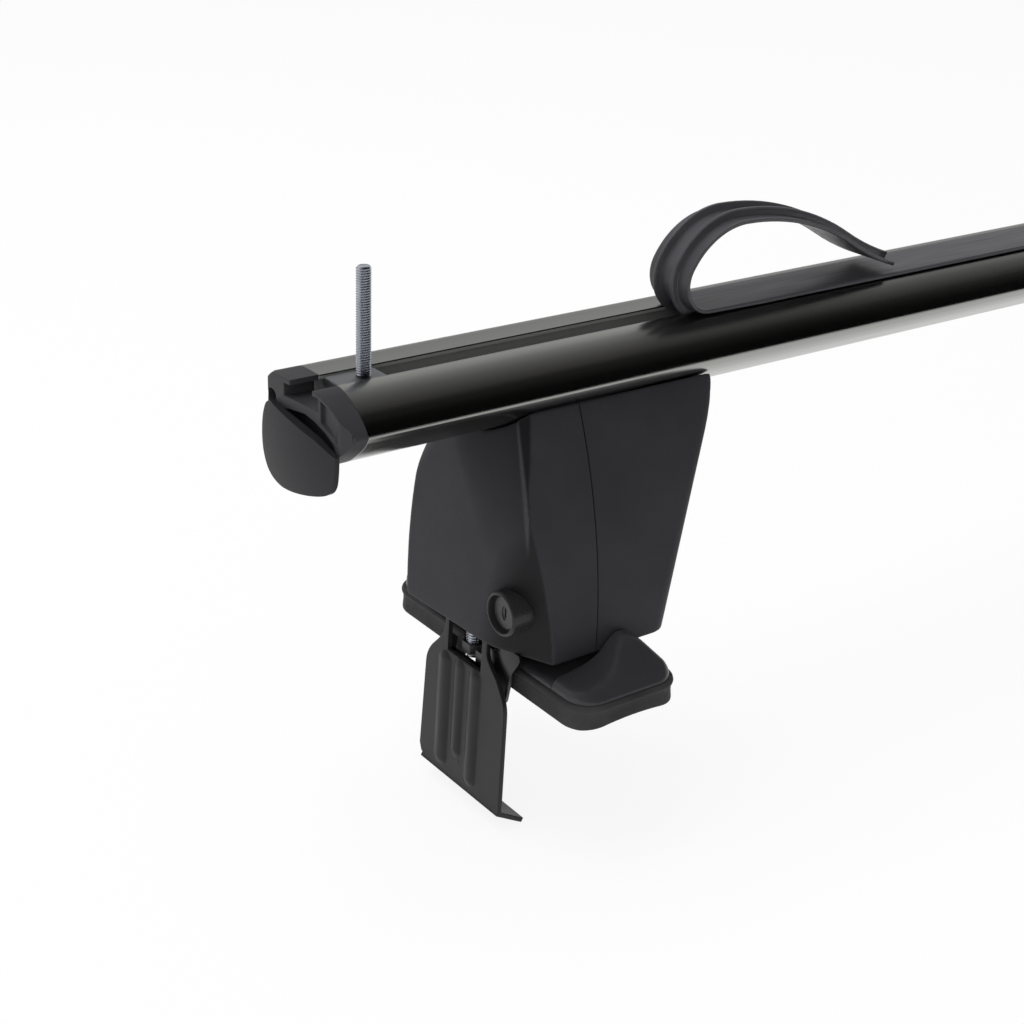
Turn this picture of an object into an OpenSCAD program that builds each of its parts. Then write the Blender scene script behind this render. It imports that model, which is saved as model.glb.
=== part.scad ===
// Roof rack crossbar: a hollow wing-section bar on two clamping feet, with a
// T-slot, a peeled-back slot strip, open end caps and a stud in the slot.
// Millimetres. X runs along the bar, Z is up, -Y is the lock side of the near foot.
// The origin is at the middle of the bar, in the plane of the rubber soles.

/* [Bar] */
// Length of the extruded bar without its end caps
bar_len = 1080; // [900:10:1500]
// Height of the bar's top face above the soles
bar_top = 148; // [140:1:170]
// Wall between the hollow chambers and the slots
web = 1.6; // [1.2:0.1:2.5]

/* [T-slot] */
// Half of the slot's opening
slot_half = 6.5; // [5:0.1:7]
// Thickness of the slot's lips
lip_t = 2; // [1.5:0.1:3]
// Half of the slot's inside width
slot_in = 10.5; // [9:0.1:11]
// Depth of the slot under the top face
slot_deep = 8.5; // [7:0.1:10]
// Depth of the slot through the end caps
cap_deep = 7.2; // [6.5:0.1:8.5]
// Sliding clearance of pieces in the slots
slide_gap = 0.2; // [0.1:0.05:0.4]

/* [Stud] */
// Radius of the stud
stud_r = 3; // [2.5:0.5:4]
// Height of the stud's tip above the bar
stud_up = 42.5; // [30:0.5:60]
// Distance of the stud from the bar's end
stud_in = 15.8; // [10:0.1:60]

/* [Slot strip] */
// Half width of the strip's flange
strip_half = 12.7; // [12:0.1:16]
// Thickness of the strip's flange
strip_t = 1.8; // [1.4:0.1:2.4]
// Distance from the bar's end to the place where the strip lifts off
lift_in = 182.5; // [150:0.5:250]
// Radius of the first bend of the peeled strip
curl_r1 = 14.2; // [12:0.5:20]

/* [Feet] */
// Distance from the bar's end to the seam of a foot
foot_in = 102.6; // [80:0.1:250]
// Half width of the foot's covers at the bottom
foot_half = 45; // [42:0.5:48]
// Radius of the covers' bulged sides
side_r = 251; // [200:1:400]
// Height of the covers' lower edge above the soles
cover_z = 21; // [19:0.5:24]
// Outboard face of the cover, measured from the seam
face_x = 36.8; // [36:0.1:40]
// Turn of the outboard face about the vertical, in degrees
face_turn = 1.7; // [0:0.1:3]
// Wall of the covers
wall = 2.2; // [1.8:0.1:3]

/* [Clamp] */
// Thickness of the hook's sheet
hook_t = 2.2; // [1.8:0.1:3]
// Half width of the hook at its lower edge
hook_half = 31; // [26:0.5:36]
// Half width of the hook's neck
neck_half = 15.4; // [13:0.2:18]
// Depth of the hook's lower edge under the soles
hook_down = 56; // [40:1:80]
// Rise of the hook's flange above the soles
flange_z = 28; // [26:0.5:32]
// Radius of the tension screw
screw_r = 4; // [3:0.5:5]
// Running clearance between turning pieces
run_gap = 0.05; // [0.02:0.01:0.1]

/* [Pad] */
// Length of the sole across the car
pad_x = 56; // [50:1:64]
// Length of the sole along the car
pad_y = 143; // [120:1:150]
// Shift of the pad along the car, away from the lock side
pad_off = 2.5; // [0:0.5:4]
// Corner radius of the sole
pad_r = 13; // [8:1:18]
// Height of the rubber sole
sole_h = 11; // [8:0.5:14]
// Radius of the pad's pivot pin
pivot_r = 4; // [3:0.5:5]

/* [Lock] */
// Radius of the lock's round housing
lock_r = 9.8; // [8:0.1:11]
// Radius of the turning plug
plug_r = 7; // [6:0.1:8]

/* [Hidden] */
$fn = 96;
half_len = bar_len / 2;
seam_x = -half_len + foot_in;
stud_x = -half_len + stud_in;
// The T-slot's floor and the slot under the bar
chan_half = 4.2;
chan_in = 7.2;
chan_top = 24.5;
chan_lip = 30;
bar_h = 32.3;
// Cap sizes
cap_rear = 14;
cap_front = 9;
// Places inside a foot, from its seam
pivot_x = 6;
pivot_z = 26;
screw_x = -25.8;
screw_y = 6;
shelf_z = 76;
shelf_t = 5;
cheek_y = 18;
cheek_t = 4;
cradle_z = 107.6;
bolt_x = [-8, 30];
lock_y = -27.7;
lock_z = 42.1;
lock_x = -38.3;
cam_x = -19.25;
hook_x = -33.4;
hook_y = 2.3;
hook_lean = 2;

// A smooth line through points, four steps to each span
function spline(p, n = 4) = [for (i = [0:len(p) - 2], k = [0:n - 1])
    let (t = k / n, a = p[max(i - 1, 0)], b = p[i], c = p[i + 1], d = p[min(i + 2, len(p) - 1)])
    0.5 * (2 * b + (c - a) * t + (2 * a - 5 * b + 4 * c - d) * t * t
        + (3 * b - 3 * c + d - a) * t * t * t)];

// Section of the bar, from the rear lip over the rear edge and the underside to the front lip
under = [[29.3, -14.2], [27.4, -17.3], [24, -21], [19.2, -25], [15.4, -27.7], [10.5, -30.3], [5.8, -32]];
rear_line = [[14, 0], [20.5, -0.5], [24.6, -2.5], [27.8, -5.8], [29.7, -9.6], [29.3, -14.2]];
front_line = [[-29.3, -14.2], [-28.8, -12.4], [-26.8, -9.8], [-22.6, -6.3], [-17.6, -3.3],
    [-13.4, -1.4], [-10, -0.4], [-7.5, 0]];
flip_under = [for (i = [len(under) - 1:-1:0]) [-under[i][0], under[i][1]]];
outline = concat([[slot_half, 0]], spline(rear_line), spline(under), [[5.8, -bar_h]],
    [[-5.8, -bar_h]], spline(flip_under), spline(front_line), [[-slot_half, 0]]);

// Turns a drawing in (Y, Z) into a solid along X, between x0 and x0 + len
module along_x(x0, len) {
    translate([x0, 0, 0]) rotate([90, 0, 90]) linear_extrude(len) children();
}

// Turns a drawing in (X, Z) into a solid along Y, centred on y = 0
module along_y(len) {
    rotate([90, 0, 0]) linear_extrude(len, center = true) children();
}

// Everything on the far side of a plane through p with the outward normal n
module beyond(p, n, size = 300) {
    m = norm(n);
    b = acos(n[2] / m);
    a = atan2(n[1], n[0]);
    translate(p) rotate([0, b, a]) translate([-size / 2, -size / 2, 0]) cube(size);
}

// Hexagon across the flats, drawn as a drawing
module hex(af) {
    circle(r = af / 2 / cos(30), $fn = 6);
}

// Rounded rectangle made of squares and circles
module round_rect(x, y, r) {
    square([x - 2 * r, y], center = true);
    square([x, y - 2 * r], center = true);
    for (i = [-1, 1], j = [-1, 1]) translate([i * (x / 2 - r), j * (y / 2 - r)]) circle(r);
}

// Places a near piece at the near foot, and a far piece turned half round
module at_near() { translate([seam_x, 0, 0]) children(); }
module at_far() { rotate([0, 0, 180]) translate([seam_x, 0, 0]) children(); }

// Bar
module slot_shape(gap = 0) {
    translate([-slot_half + gap, -lip_t - 1]) square([2 * (slot_half - gap), lip_t + 3]);
    translate([-slot_in + gap, -slot_deep]) square([2 * (slot_in - gap), slot_deep - lip_t]);
}

module bar_section() {
    difference() {
        polygon(outline);
        slot_shape();
        translate([-chan_half, -bar_h - 1]) square([2 * chan_half, 4]);
        translate([-chan_in, -chan_lip]) square([2 * chan_in, chan_lip - chan_top]);
        polygon([[-12.3, -3], [-17.2, -5.2], [-22, -8.3], [-25.4, -11.4], [-26.6, -13.8], [-25.2, -16.4],
            [-22, -20], [-17.6, -23.4], [-12.5, -26.4], [-9, -28], [-9, -22.8], [-slot_in - web, -10.3]]);
        difference() {
            polygon([[slot_in + web, -2.2], [20, -2.6], [23.4, -4.4], [26, -7.2], [27.4, -10.2], [27.4, -13.2],
                [25.2, -16.4], [22, -20], [17.6, -23.4], [12.5, -26.4], [9, -28], [9, -22.8],
                [slot_in + web, -10.3]]);
            translate([19, -9.6]) circle(3.4);
            translate([18.2, -7]) square([1.6, 6]);
        }
        translate([19, -9.6]) circle(1.9);
        polygon([[-10.5, -slot_deep - web], [10.5, -slot_deep - web], [7.2, -chan_top + web],
            [-7.2, -chan_top + web]]);
    }
}

module crossbar() {
    color([0.20, 0.20, 0.19]) translate([0, 0, bar_top]) along_x(-half_len, bar_len) bar_section();
}

// Strip profile: (y, z) with z = 0 on the bar's top face
module strip_profile() {
    w = slot_half - slide_gap;
    difference() {
        polygon([[-strip_half, -0.4], [-strip_half + 0.5, -0.8], [-10, 0.02], [-w, 0.02], [-w, -lip_t - 0.4],
            [-w - 1.4, -lip_t - 0.7], [-w + 0.6, -lip_t - 1.6], [w - 0.6, -lip_t - 1.6], [w + 1.4, -lip_t - 0.7],
            [w, -lip_t - 0.4], [w, 0.02], [strip_half - 0.5, 0.02], [strip_half, 0.5],
            [strip_half, strip_t - 0.4], [strip_half - 0.5, strip_t + 0.02], [-10, strip_t + 0.02],
            [-strip_half + 0.6, strip_t - 1.0], [-strip_half, strip_t - 1.6]]);
        translate([-w + 1.6, -lip_t - 3]) square([2 * w - 3.2, lip_t + 2.8]);
    }
}

// The peeled strip lies flat across its width, without the bar's fall under one edge
module strip_profile_flat() {
    w = slot_half - slide_gap;
    difference() {
        polygon([[-strip_half, 0.5], [-strip_half + 0.5, 0.02], [-w, 0.02], [-w, -lip_t - 1.1],
            [-w + 0.6, -lip_t - 1.6], [w - 0.6, -lip_t - 1.6], [w, -lip_t - 1.1], [w, 0.02],
            [strip_half - 0.5, 0.02], [strip_half, 0.5], [strip_half, strip_t - 0.4],
            [strip_half - 0.5, strip_t + 0.02], [-strip_half + 0.5, strip_t + 0.02],
            [-strip_half, strip_t - 0.4]]);
        translate([-w + 1.6, -lip_t - 3]) square([2 * w - 3.2, lip_t + 2.8]);
    }
}

// Points of an arc of the peeled strip, each with the direction of the strip's top side
function bend(c, r, a, b, s, n, first = 1) = [for (i = [first:n]) let (u = a + (b - a) * i / n)
    [c[0] + r * cos(u), c[1] + r * sin(u), s * cos(u), s * sin(u)]];

// Line of the peeled strip from the lift-off at (0, 0): every arc is tangent to the next
curl_a1 = 150;
curl_r2 = 35;
curl_c2 = [(curl_r1 - curl_r2) * cos(curl_a1), curl_r1 + (curl_r1 - curl_r2) * sin(curl_a1)];
curl_r3 = 130;
curl_c3 = [curl_c2[0], curl_c2[1] + curl_r2 - curl_r3];
curl_a3 = 59;
curl_r4 = 161;
curl_c4 = [curl_c3[0] + (curl_r3 + curl_r4) * cos(curl_a3), curl_c3[1] + (curl_r3 + curl_r4) * sin(curl_a3)];
curl_tip = 2 * strip_t + 3;
curl_a4 = 270 - acos(min(1, (curl_c4[1] - curl_tip) / curl_r4));
curl_line = concat([[1, 0, 0, 1]], bend([0, curl_r1], curl_r1, 270, curl_a1, -1, 30, 0),
    bend(curl_c2, curl_r2, curl_a1, 90, -1, 18), bend(curl_c3, curl_r3, 90, curl_a3, -1, 18),
    bend(curl_c4, curl_r4, 180 + curl_a3, curl_a4, 1, 10));

function ribbon(lo, hi) = concat([for (p = curl_line) [p[0] + p[2] * lo, p[1] + p[3] * lo]],
    [for (i = [len(curl_line) - 1:-1:0]) let (p = curl_line[i]) [p[0] + p[2] * hi, p[1] + p[3] * hi]]);

module slot_strip() {
    lift_x = -half_len + lift_in;
    w = slot_half - slide_gap;
    color([0.07, 0.07, 0.07]) translate([0, 0, bar_top]) {
        along_x(lift_x, half_len - 0.5 - lift_x) strip_profile();
        translate([lift_x, 0, 0]) {
            along_y(2 * strip_half) polygon(ribbon(0.02, strip_t + 0.02));
            difference() {
                along_y(2 * w) polygon(ribbon(-lip_t - 1.6, 0.5));
                along_y(2 * w - 3.2) polygon(ribbon(-lip_t - 3, -0.2));
            }
        }
    }
}

// Stud with its T-plate, laid in the T-slot
module t_bolt() {
    g = slide_gap;
    color([0.62, 0.63, 0.66]) translate([stud_x, 0, bar_top]) {
        translate([-14, -slot_in + g, -lip_t - 3.7]) cube([22, 2 * (slot_in - g), 3.5]);
        translate([-14, -slot_half + g, -lip_t - 0.4]) cube([22, 2 * (slot_half - g), lip_t + 0.1]);
        translate([0, 0, -3]) cylinder(r = stud_r, h = stud_up + 2.4);
        translate([0, 0, stud_up - 0.7]) cylinder(r = stud_r - 0.5, h = 0.7);
    }
}

// End caps: a moulded collar on the bar's end, cut open for the T-slot
module cap_section() {
    w = slot_half + 0.5;
    b = slot_in + 0.3;
    d = cap_deep;
    l = lip_t + 0.2;
    polygon(concat([[w, 0]], [for (i = [1:len(outline) - 2]) outline[i]],
        [[-w, 0], [-w, -l], [-b, -l], [-b, -d], [b, -d], [b, -l], [w, -l]]));
}

// Deep part of the cap's end, under the swung rib behind the lid
module cap_well() {
    polygon([[13.6, -13.4], [7.5, -11.8], [-2.4, -10.8], [-8.3, -12.1], [-14.8, -14.6], [-19.6, -17.4],
        [-21.6, -20.5], [-17.4, -23.9], [-9.6, -28.2], [-4.6, -29.6], [4.6, -29.6], [9.6, -28.2],
        [14, -25.4], [16, -22.5], [14.2, -18]]);
}

// Shallow scoop between that rib and the cap's skin
module cap_scoop() {
    polygon([[-12.4, -2.6], [-16.8, -4.4], [-21.2, -7.2], [-22.6, -9.2], [-22.6, -16.4], [-20.6, -14.8],
        [-14.8, -12.4], [-12.4, -11.3]]);
}

// Puts a piece on the cap's slanted end plane, which is x = 0 inside
end_turn = atan((cap_rear - cap_front) / 48);
module on_end() {
    translate([-half_len - cap_rear, 20, bar_top]) rotate([0, 0, end_turn]) translate([0, -20, 0]) children();
}

pin_y = 18.4;
pin_z = -16.2;
pin_r = 1.5;
lid_swing = 14;

module cap_body() {
    color([0.055, 0.055, 0.06]) difference() {
        translate([-half_len, 0, bar_top]) union() {
            along_x(-18, 18) cap_section();
            // Spigots that push into the bar's chambers
            translate([-0.5, -21.5, -19]) cube([13, 7.5, 9]);
            translate([-0.5, -6, -19]) cube([13, 12, 7]);
        }
        on_end() {
            beyond([0, 0, 0], [-1, 0, 0], 200);
            beyond([0, 21.3, 0], [-0.75, 0.66, 0], 120);
            beyond([0.4, 20.5, -1.5], [-0.35, 0.62, 0.7], 120);
            translate([-20, pin_y, pin_z]) rotate([0, 90, 0]) cylinder(r = pin_r + run_gap, h = 28.4);
        }
        translate([-half_len, 0, bar_top]) {
            along_x(-40, 34) cap_well();
            along_x(-40, 30.8) cap_scoop();
            // Chamfered front corner
            beyond([-10, -23.3, -7], [-0.8, -0.6, 0], 120);
            // Recess and bore for the cap's screw
            translate([-40, 19, -9.6]) rotate([0, 90, 0]) cylinder(r = 2.9, h = 40 - 4.2);
            translate([-10, 19, -9.6]) rotate([0, 90, 0]) cylinder(r = 1.95, h = 30);
        }
    }
}

// Lid of a cap: a shield that swings on a pin, drawn as (y, z) from the bar's top
lid_line = [[17.6, -10.8], [20.6, -12.6], [22.2, -16.5], [22.8, -21.5], [22.7, -28], [21.8, -33.5], [19.2, -39],
    [15, -42], [9.5, -43.4], [3.5, -43.3], [-3, -42.4], [-10, -40.9], [-16.5, -39], [-20.8, -36.8],
    [-23.2, -33.2], [-24.1, -28], [-24.4, -22.6]];

module lid_body() {
    color([0.055, 0.055, 0.06]) on_end() difference() {
        intersection() {
            along_x(-5.15, 5) polygon(concat(spline(lid_line), [[-24.4, -21.4], [-13, -17], [0, -14.2]]));
            translate([108.3, -1, -28]) sphere(r = 113, $fn = 300);
        }
        translate([-1.4, pin_y, pin_z]) rotate([0, 90, 0]) cylinder(r = pin_r + run_gap, h = 20);
    }
}

module lid_pin() {
    color([0.5, 0.5, 0.52]) on_end() translate([-1.3, pin_y, pin_z]) rotate([0, 90, 0])
        cylinder(r = pin_r, h = 9);
}

module cap_screw() {
    color([0.35, 0.35, 0.36]) translate([-half_len, 19, bar_top - 9.6]) rotate([0, 90, 0]) difference() {
        union() {
            translate([0, 0, -6.4]) cylinder(r = 2.7, h = 2.1);
            translate([0, 0, -5]) cylinder(r = 1.85, h = 17);
        }
        translate([0, 0, -7]) cylinder(r = 1.3, h = 1.9, $fn = 6);
    }
}

// Turns a lid shut about its pin
module shut() {
    translate([-half_len - cap_rear, 20, bar_top]) rotate([0, 0, end_turn]) translate([0, pin_y - 20, pin_z])
        rotate([-lid_swing, 0, 0]) translate([0, 20 - pin_y, -pin_z]) rotate([0, 0, -end_turn])
            translate([half_len + cap_rear, -20, -bar_top]) children();
}

// Covers of a foot: the whole outer shape, moved in by t
module cover_solid(t = 0) {
    a = [-cos(face_turn), -sin(face_turn), 0];
    f = [-0.835, -0.419, 0.357];
    b = [-0.727, 0.556, 0.401];
    c = [-0.908, -0.406, -0.101];
    g = [0.683, -0.72, -0.123];
    intersection() {
        along_x(-face_x - 4, 140) intersection() {
            translate([foot_half - side_r, cover_z + 7]) circle(side_r - t);
            translate([side_r - foot_half, cover_z + 7]) circle(side_r - t);
            translate([-60, t > 0 ? cover_z - 5 : cover_z]) square([120, bar_top - cover_z - 12]);
        }
        along_y(120) polygon([[-50, 0], [47 - t, 0], [76.2 - t, bar_top], [-50, bar_top]]);
        difference() {
            translate([-60, -60, 0]) cube([200, 120, 150]);
            beyond([-face_x, foot_half, 0] - a * t, a);
            // Facets at the upper outboard corners
            beyond([-31.87, -27.24, 105.66] - f * t, f);
            beyond([-35.3, 37.6, 89] - b * t, b);
            // Facets at the inboard corners
            for (s = [0, 1]) mirror([0, s, 0]) beyond([35.6, -45, 21] - g * t, g);
            // Large facet around the lock
            beyond([-30.99, -34.04, 56.75] - c * t, c);
        }
    }
}

// Space under the bar, kept free by the gap c
module bar_space(c) {
    k = 1 + c / 30;
    low = [for (p = concat(spline(under), [[5.8, -bar_h]])) [p[0] * k, p[1] - c]];
    high = [for (i = [len(low) - 1:-1:0]) [-low[i][0], low[i][1]]];
    translate([0, 0, bar_top]) along_x(-80, 220) polygon(concat(low, high,
        [[-40, -10], [-40, 20], [40, 20], [40, -10]]));
}

module cover_shell() {
    difference() {
        cover_solid();
        cover_solid(wall);
        bar_space(0.8);
    }
}

module lock_axis() {
    translate([lock_x, lock_y, lock_z]) rotate([0, 90, 0]) children();
}

module outer_cover() {
    color([0.06, 0.06, 0.065]) difference() {
        union() {
            difference() {
                cover_shell();
                translate([-0.2, -80, 0]) cube([200, 160, 200]);
            }
            lock_axis() cylinder(r = lock_r, h = 15.2);
        }
        // Thinned wall that the hook's neck slides behind
        intersection() {
            cover_solid(1);
            union() {
                translate([-60, hook_y - neck_half - 1.8, 0]) cube([40, 2 * neck_half + 3.6, flange_z + 16]);
                translate([-60, hook_y - neck_half - 6, 0]) cube([40, 2 * neck_half + 12, cover_z + 4.5]);
            }
        }
        lock_axis() translate([0, 0, -1]) cylinder(r = plug_r + run_gap, h = 20);
        lock_axis() translate([0, 0, -1]) cylinder(r = plug_r + 1.2, h = 4);
    }
}

module inner_cover() {
    color([0.06, 0.06, 0.065]) difference() {
        cover_shell();
        translate([-199.8, -80, 0]) cube([200, 160, 200]);
    }
}

module lock_plug() {
    color([0.10, 0.10, 0.105]) lock_axis() difference() {
        union() {
            translate([0, 0, 2.4]) cylinder(r = plug_r, h = 12.6);
            translate([0, 0, 5]) cylinder(r = 4, h = cam_x - lock_x - 5.05);
        }
        // Keyhole with its oval dish
        translate([0, 0, 2.3]) intersection() {
            translate([0, 2.4, 0]) cylinder(r = 4.2, h = 0.7);
            translate([0, -2.4, 0]) cylinder(r = 4.2, h = 0.7);
        }
        translate([-2.2, -0.5, 0]) cube([4.4, 1, 11]);
        translate([0, 0, cam_x - lock_x - 5.25]) cylinder(r = 1.5, h = 8);
    }
}

module lock_cam() {
    color([0.5, 0.5, 0.52]) lock_axis() translate([0, 0, cam_x - lock_x]) difference() {
        union() {
            cylinder(r = 5.5, h = 1.8);
            translate([-13, -3.4, 0]) cube([13, 6.8, 1.8]);
        }
        translate([0, 0, -1]) cylinder(r = 1.6, h = 4);
    }
}

module cam_screw() {
    color([0.55, 0.55, 0.57]) lock_axis() translate([0, 0, cam_x - lock_x]) {
        translate([0, 0, -4.25]) cylinder(r = 1.45, h = 6.5);
        translate([0, 0, 1.85]) difference() {
            cylinder(r = 2.8, h = 1.8);
            translate([-0.4, -3, 1]) cube([0.8, 6, 1]);
        }
    }
}

// Bracket of a foot: a cradle under the bar on two cheeks, with a shelf for the tension screw
module bracket() {
    color([0.09, 0.09, 0.095]) difference() {
        union() {
            along_y(2 * (cheek_y + cheek_t)) polygon([[-22, cradle_z], [60, cradle_z], [60, 132],
                [-22, 132]]);
            for (s = [0, 1]) mirror([0, s, 0]) translate([0, cheek_y, 0]) rotate([90, 0, 0])
                mirror([0, 0, 1]) linear_extrude(cheek_t)
                    polygon([[-22, 120], [60, 120], [58, 104], [46, 60], [22, 19], [-10, 19], [-22, 36]]);
            translate([-32.4, -cheek_y - 0.5, shelf_z]) cube([40, 2 * cheek_y + 1, shelf_t]);
            translate([40, -cheek_y - 0.5, 60]) cube([4, 2 * cheek_y + 1, cradle_z - 59]);
        }
        bar_space(0.1);
        // Bores for the clamp bolts, the tension screw and the pivot pin
        for (x = bolt_x) translate([x, 0, 90]) cylinder(r = screw_r + 0.3, h = 40);
        translate([screw_x, screw_y, 70]) cylinder(r = screw_r + 0.3, h = 20);
        translate([pivot_x, 0, pivot_z]) rotate([90, 0, 0])
            cylinder(r = pivot_r + run_gap, h = 60, center = true);
        // Window for the lock's cam
        translate([cam_x - 0.65, lock_y + 3, lock_z - 4.2]) cube([3.2, 16, 20.2]);
    }
}

module clamp_bolts() {
    color([0.55, 0.55, 0.57]) for (x = bolt_x) translate([x, 0, bar_top]) {
        translate([0, 0, -chan_lip + 0.05]) linear_extrude(5.2) hex(13);
        translate([0, 0, -bar_h - 20]) cylinder(r = screw_r - 0.05, h = 24);
    }
}

module clamp_washers() {
    color([0.6, 0.6, 0.62]) for (x = bolt_x) translate([x, 0, cradle_z - 1.65]) difference() {
        cylinder(r = 8, h = 1.6);
        translate([0, 0, -1]) cylinder(r = screw_r + 0.2, h = 4);
    }
}

module clamp_nuts() {
    color([0.55, 0.55, 0.57]) for (x = bolt_x) translate([x, 0, cradle_z - 8.2]) difference() {
        linear_extrude(6.5) hex(13);
        translate([0, 0, -1]) cylinder(r = screw_r, h = 9);
    }
}

// Clamp hook with its beads, turned flange and lip
module hook_outline() {
    top = flange_z + hook_t - 0.6;
    polygon(concat([[-neck_half, top]],
        spline([[-neck_half, 16], [-16.4, 13.4], [-19.1, 10.2], [-23, 6.8], [-26.2, 2.6], [-28.8, -1.6],
            [-30.2, -6], [-30.5, -12]]),
        [[-hook_half, -hook_down + 6], [-hook_half, -hook_down], [hook_half - 5, -hook_down],
        [hook_half - 1.4, -hook_down + 1.5], [hook_half, -hook_down + 5]],
        spline([[hook_half - 1.6, -12], [28.8, -5], [25.8, 1], [20.4, 7], [17, 11.4], [neck_half, 16]]),
        [[neck_half, top]]));
}

// Stiffening bead: a bar of radius r that stands out by a given height and tapers off at its ends
module bead(y, r, out, z0, z1) {
    translate([r - out, y, 0]) rotate_extrude() polygon([[0, z0 - 5], [r - out - 0.5, z0 - 5],
        [r - 0.65 * out, z0 - 3], [r - 0.2 * out, z0 - 1.4], [r, z0 + 0.4], [r, z1 - 0.4],
        [r - 0.2 * out, z1 + 1.4], [r - 0.65 * out, z1 + 3], [r - out - 0.5, z1 + 5], [0, z1 + 5]]);
}

module hook() {
    t = hook_t;
    color([0.035, 0.035, 0.035]) translate([0, hook_y, 0]) difference() {
        union() {
            translate([hook_x, 0, 24]) rotate([0, hook_lean, 0]) translate([0, 0, -24]) {
                along_x(0, t) hook_outline();
                intersection() {
                    union() {
                        bead(14.2, 8, 1.7, -50, 0);
                        bead(3, 6.5, 1.4, -41, 1);
                        bead(-8.6, 7, 1.6, -50, 1);
                    }
                    translate([-3, -40, -60]) cube([3 + t / 2, 80, 70]);
                }
                // Lip that goes under the edge of the roof
                translate([0, -hook_half, -hook_down]) rotate([0, 28, 0])
                    translate([0, 0, -t / 2]) cube([16, 2 * hook_half - 2, t]);
            }
            translate([hook_x + 0.4, 0.3 - neck_half, flange_z]) cube([18, 2 * neck_half - 0.6, t]);
        }
        // Window in the neck, and the bore for the tension screw
        translate([hook_x - 5, -12, 4.8]) cube([10, 24.8, 21.2]);
        translate([screw_x, screw_y - hook_y, 20]) cylinder(r = screw_r + 0.4, h = 20);
    }
}

module hook_nut() {
    color([0.2, 0.2, 0.2]) translate([screw_x, screw_y, flange_z + hook_t + 0.02]) difference() {
        linear_extrude(6.5) rotate(30) hex(13);
        translate([0, 0, -1]) cylinder(r = screw_r + run_gap, h = 9);
    }
}

module tension_screw() {
    color([0.6, 0.6, 0.62]) translate([screw_x, screw_y, 0]) difference() {
        union() {
            translate([0, 0, 4]) cylinder(r = screw_r, h = shelf_z + shelf_t);
            translate([0, 0, shelf_z + shelf_t + 1.7]) cylinder(r = 6.5, h = 8);
        }
        translate([0, 0, shelf_z + shelf_t + 5]) cylinder(r = 3.4, h = 8, $fn = 6);
    }
}

module stop_nut() {
    color([0.06, 0.06, 0.06]) translate([screw_x, screw_y, 6.5]) difference() {
        linear_extrude(5) rotate(30) hex(10);
        translate([0, 0, -1]) cylinder(r = screw_r, h = 9);
    }
}

module washer() {
    color([0.6, 0.6, 0.62]) translate([screw_x, screw_y, shelf_z + shelf_t + 0.03]) difference() {
        cylinder(r = 7.6, h = 1.6);
        translate([0, 0, -1]) cylinder(r = screw_r + 0.2, h = 4);
    }
}

// Pad: a moulded saddle that rocks on the pivot pin, and its rubber sole
pad_cx = 2.3;

module saddle() {
    color([0.06, 0.06, 0.065]) difference() {
        union() {
            translate([pad_cx, pad_off, sole_h]) linear_extrude(2) round_rect(pad_x - 3, pad_y - 3, pad_r - 1.5);
            translate([pad_cx + 0.5, pad_off, sole_h]) linear_extrude(4)
                round_rect(pad_x - 10, pad_y - 10, pad_r - 4);
            // Humps in front of and behind the covers
            intersection() {
                translate([pad_cx, pad_off, sole_h]) linear_extrude(30) round_rect(pad_x - 4, pad_y - 4, pad_r - 2);
                union() {
                    intersection() {
                        along_y(160) polygon(concat([[-24, sole_h]], spline([[-24, 12.5], [-18, 16.5],
                            [-10, 23.5], [-1, 29.4], [7, 31], [14, 29.2], [20, 25], [25, 19],
                            [29, 12.5]]), [[29, sole_h]]));
                        along_x(-40, 90) polygon(concat([[-46.2, sole_h], [-46.2, 31.2]],
                            spline([[-49, 31.2], [-52, 30], [-56, 25.6], [-60, 19.5], [-64.5, 14],
                            [-66.5, 12.4]]), [[-66.5, sole_h]]));
                    }
                    intersection() {
                        along_y(160) polygon(concat([[-26, sole_h]], spline([[-26, 13], [-24.6, 20],
                            [-20, 27.5], [-12, 31], [0, 31.4], [12, 28], [21, 21], [29, 12.5]]),
                            [[29, sole_h]]));
                        along_x(-40, 90) polygon(concat([[46.2, sole_h], [46.2, 31.4]],
                            spline([[49, 31.4], [54, 31], [60, 28.4], [66, 21.5], [70, 16],
                            [72, 12.4]]), [[72, sole_h]]));
                    }
                }
            }
            // Ears on the pivot pin
            for (s = [0, 1]) mirror([0, s, 0]) translate([pivot_x, cheek_y - 0.4, 0]) rotate([90, 0, 0])
                linear_extrude(6) {
                    translate([0, pivot_z]) circle(r = 8.5);
                    translate([-8.5, sole_h]) square([17, pivot_z - sole_h]);
                }
        }
        translate([pivot_x, 0, pivot_z]) rotate([90, 0, 0])
            cylinder(r = pivot_r + run_gap, h = 60, center = true);
        screw_notch();
    }
}

// Notch in the pad's outboard edge that the tension screw stands in
module screw_notch() {
    translate([-60, screw_y - 8.5, -5]) cube([60 + screw_x + 8.6, 17, 40]);
}

module sole() {
    color([0.045, 0.045, 0.045]) difference() {
        union() {
            translate([pad_cx, pad_off, 0]) linear_extrude(sole_h - 0.05) round_rect(pad_x, pad_y, pad_r);
            translate([pad_cx, pad_off, sole_h - 3]) linear_extrude(2.2)
                round_rect(pad_x + 2, pad_y + 2, pad_r + 1);
        }
        // Hollow underside that follows the curve of a roof
        translate([pad_cx, pad_off, -148]) rotate([90, 0, 0]) cylinder(r = 150, h = 200, center = true, $fn = 360);
        screw_notch();
    }
}

module pivot_pin() {
    color([0.55, 0.55, 0.57]) translate([pivot_x, 0, pivot_z]) rotate([90, 0, 0])
        cylinder(r = pivot_r, h = 2 * (cheek_y + cheek_t) + 5, center = true);
}

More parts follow.
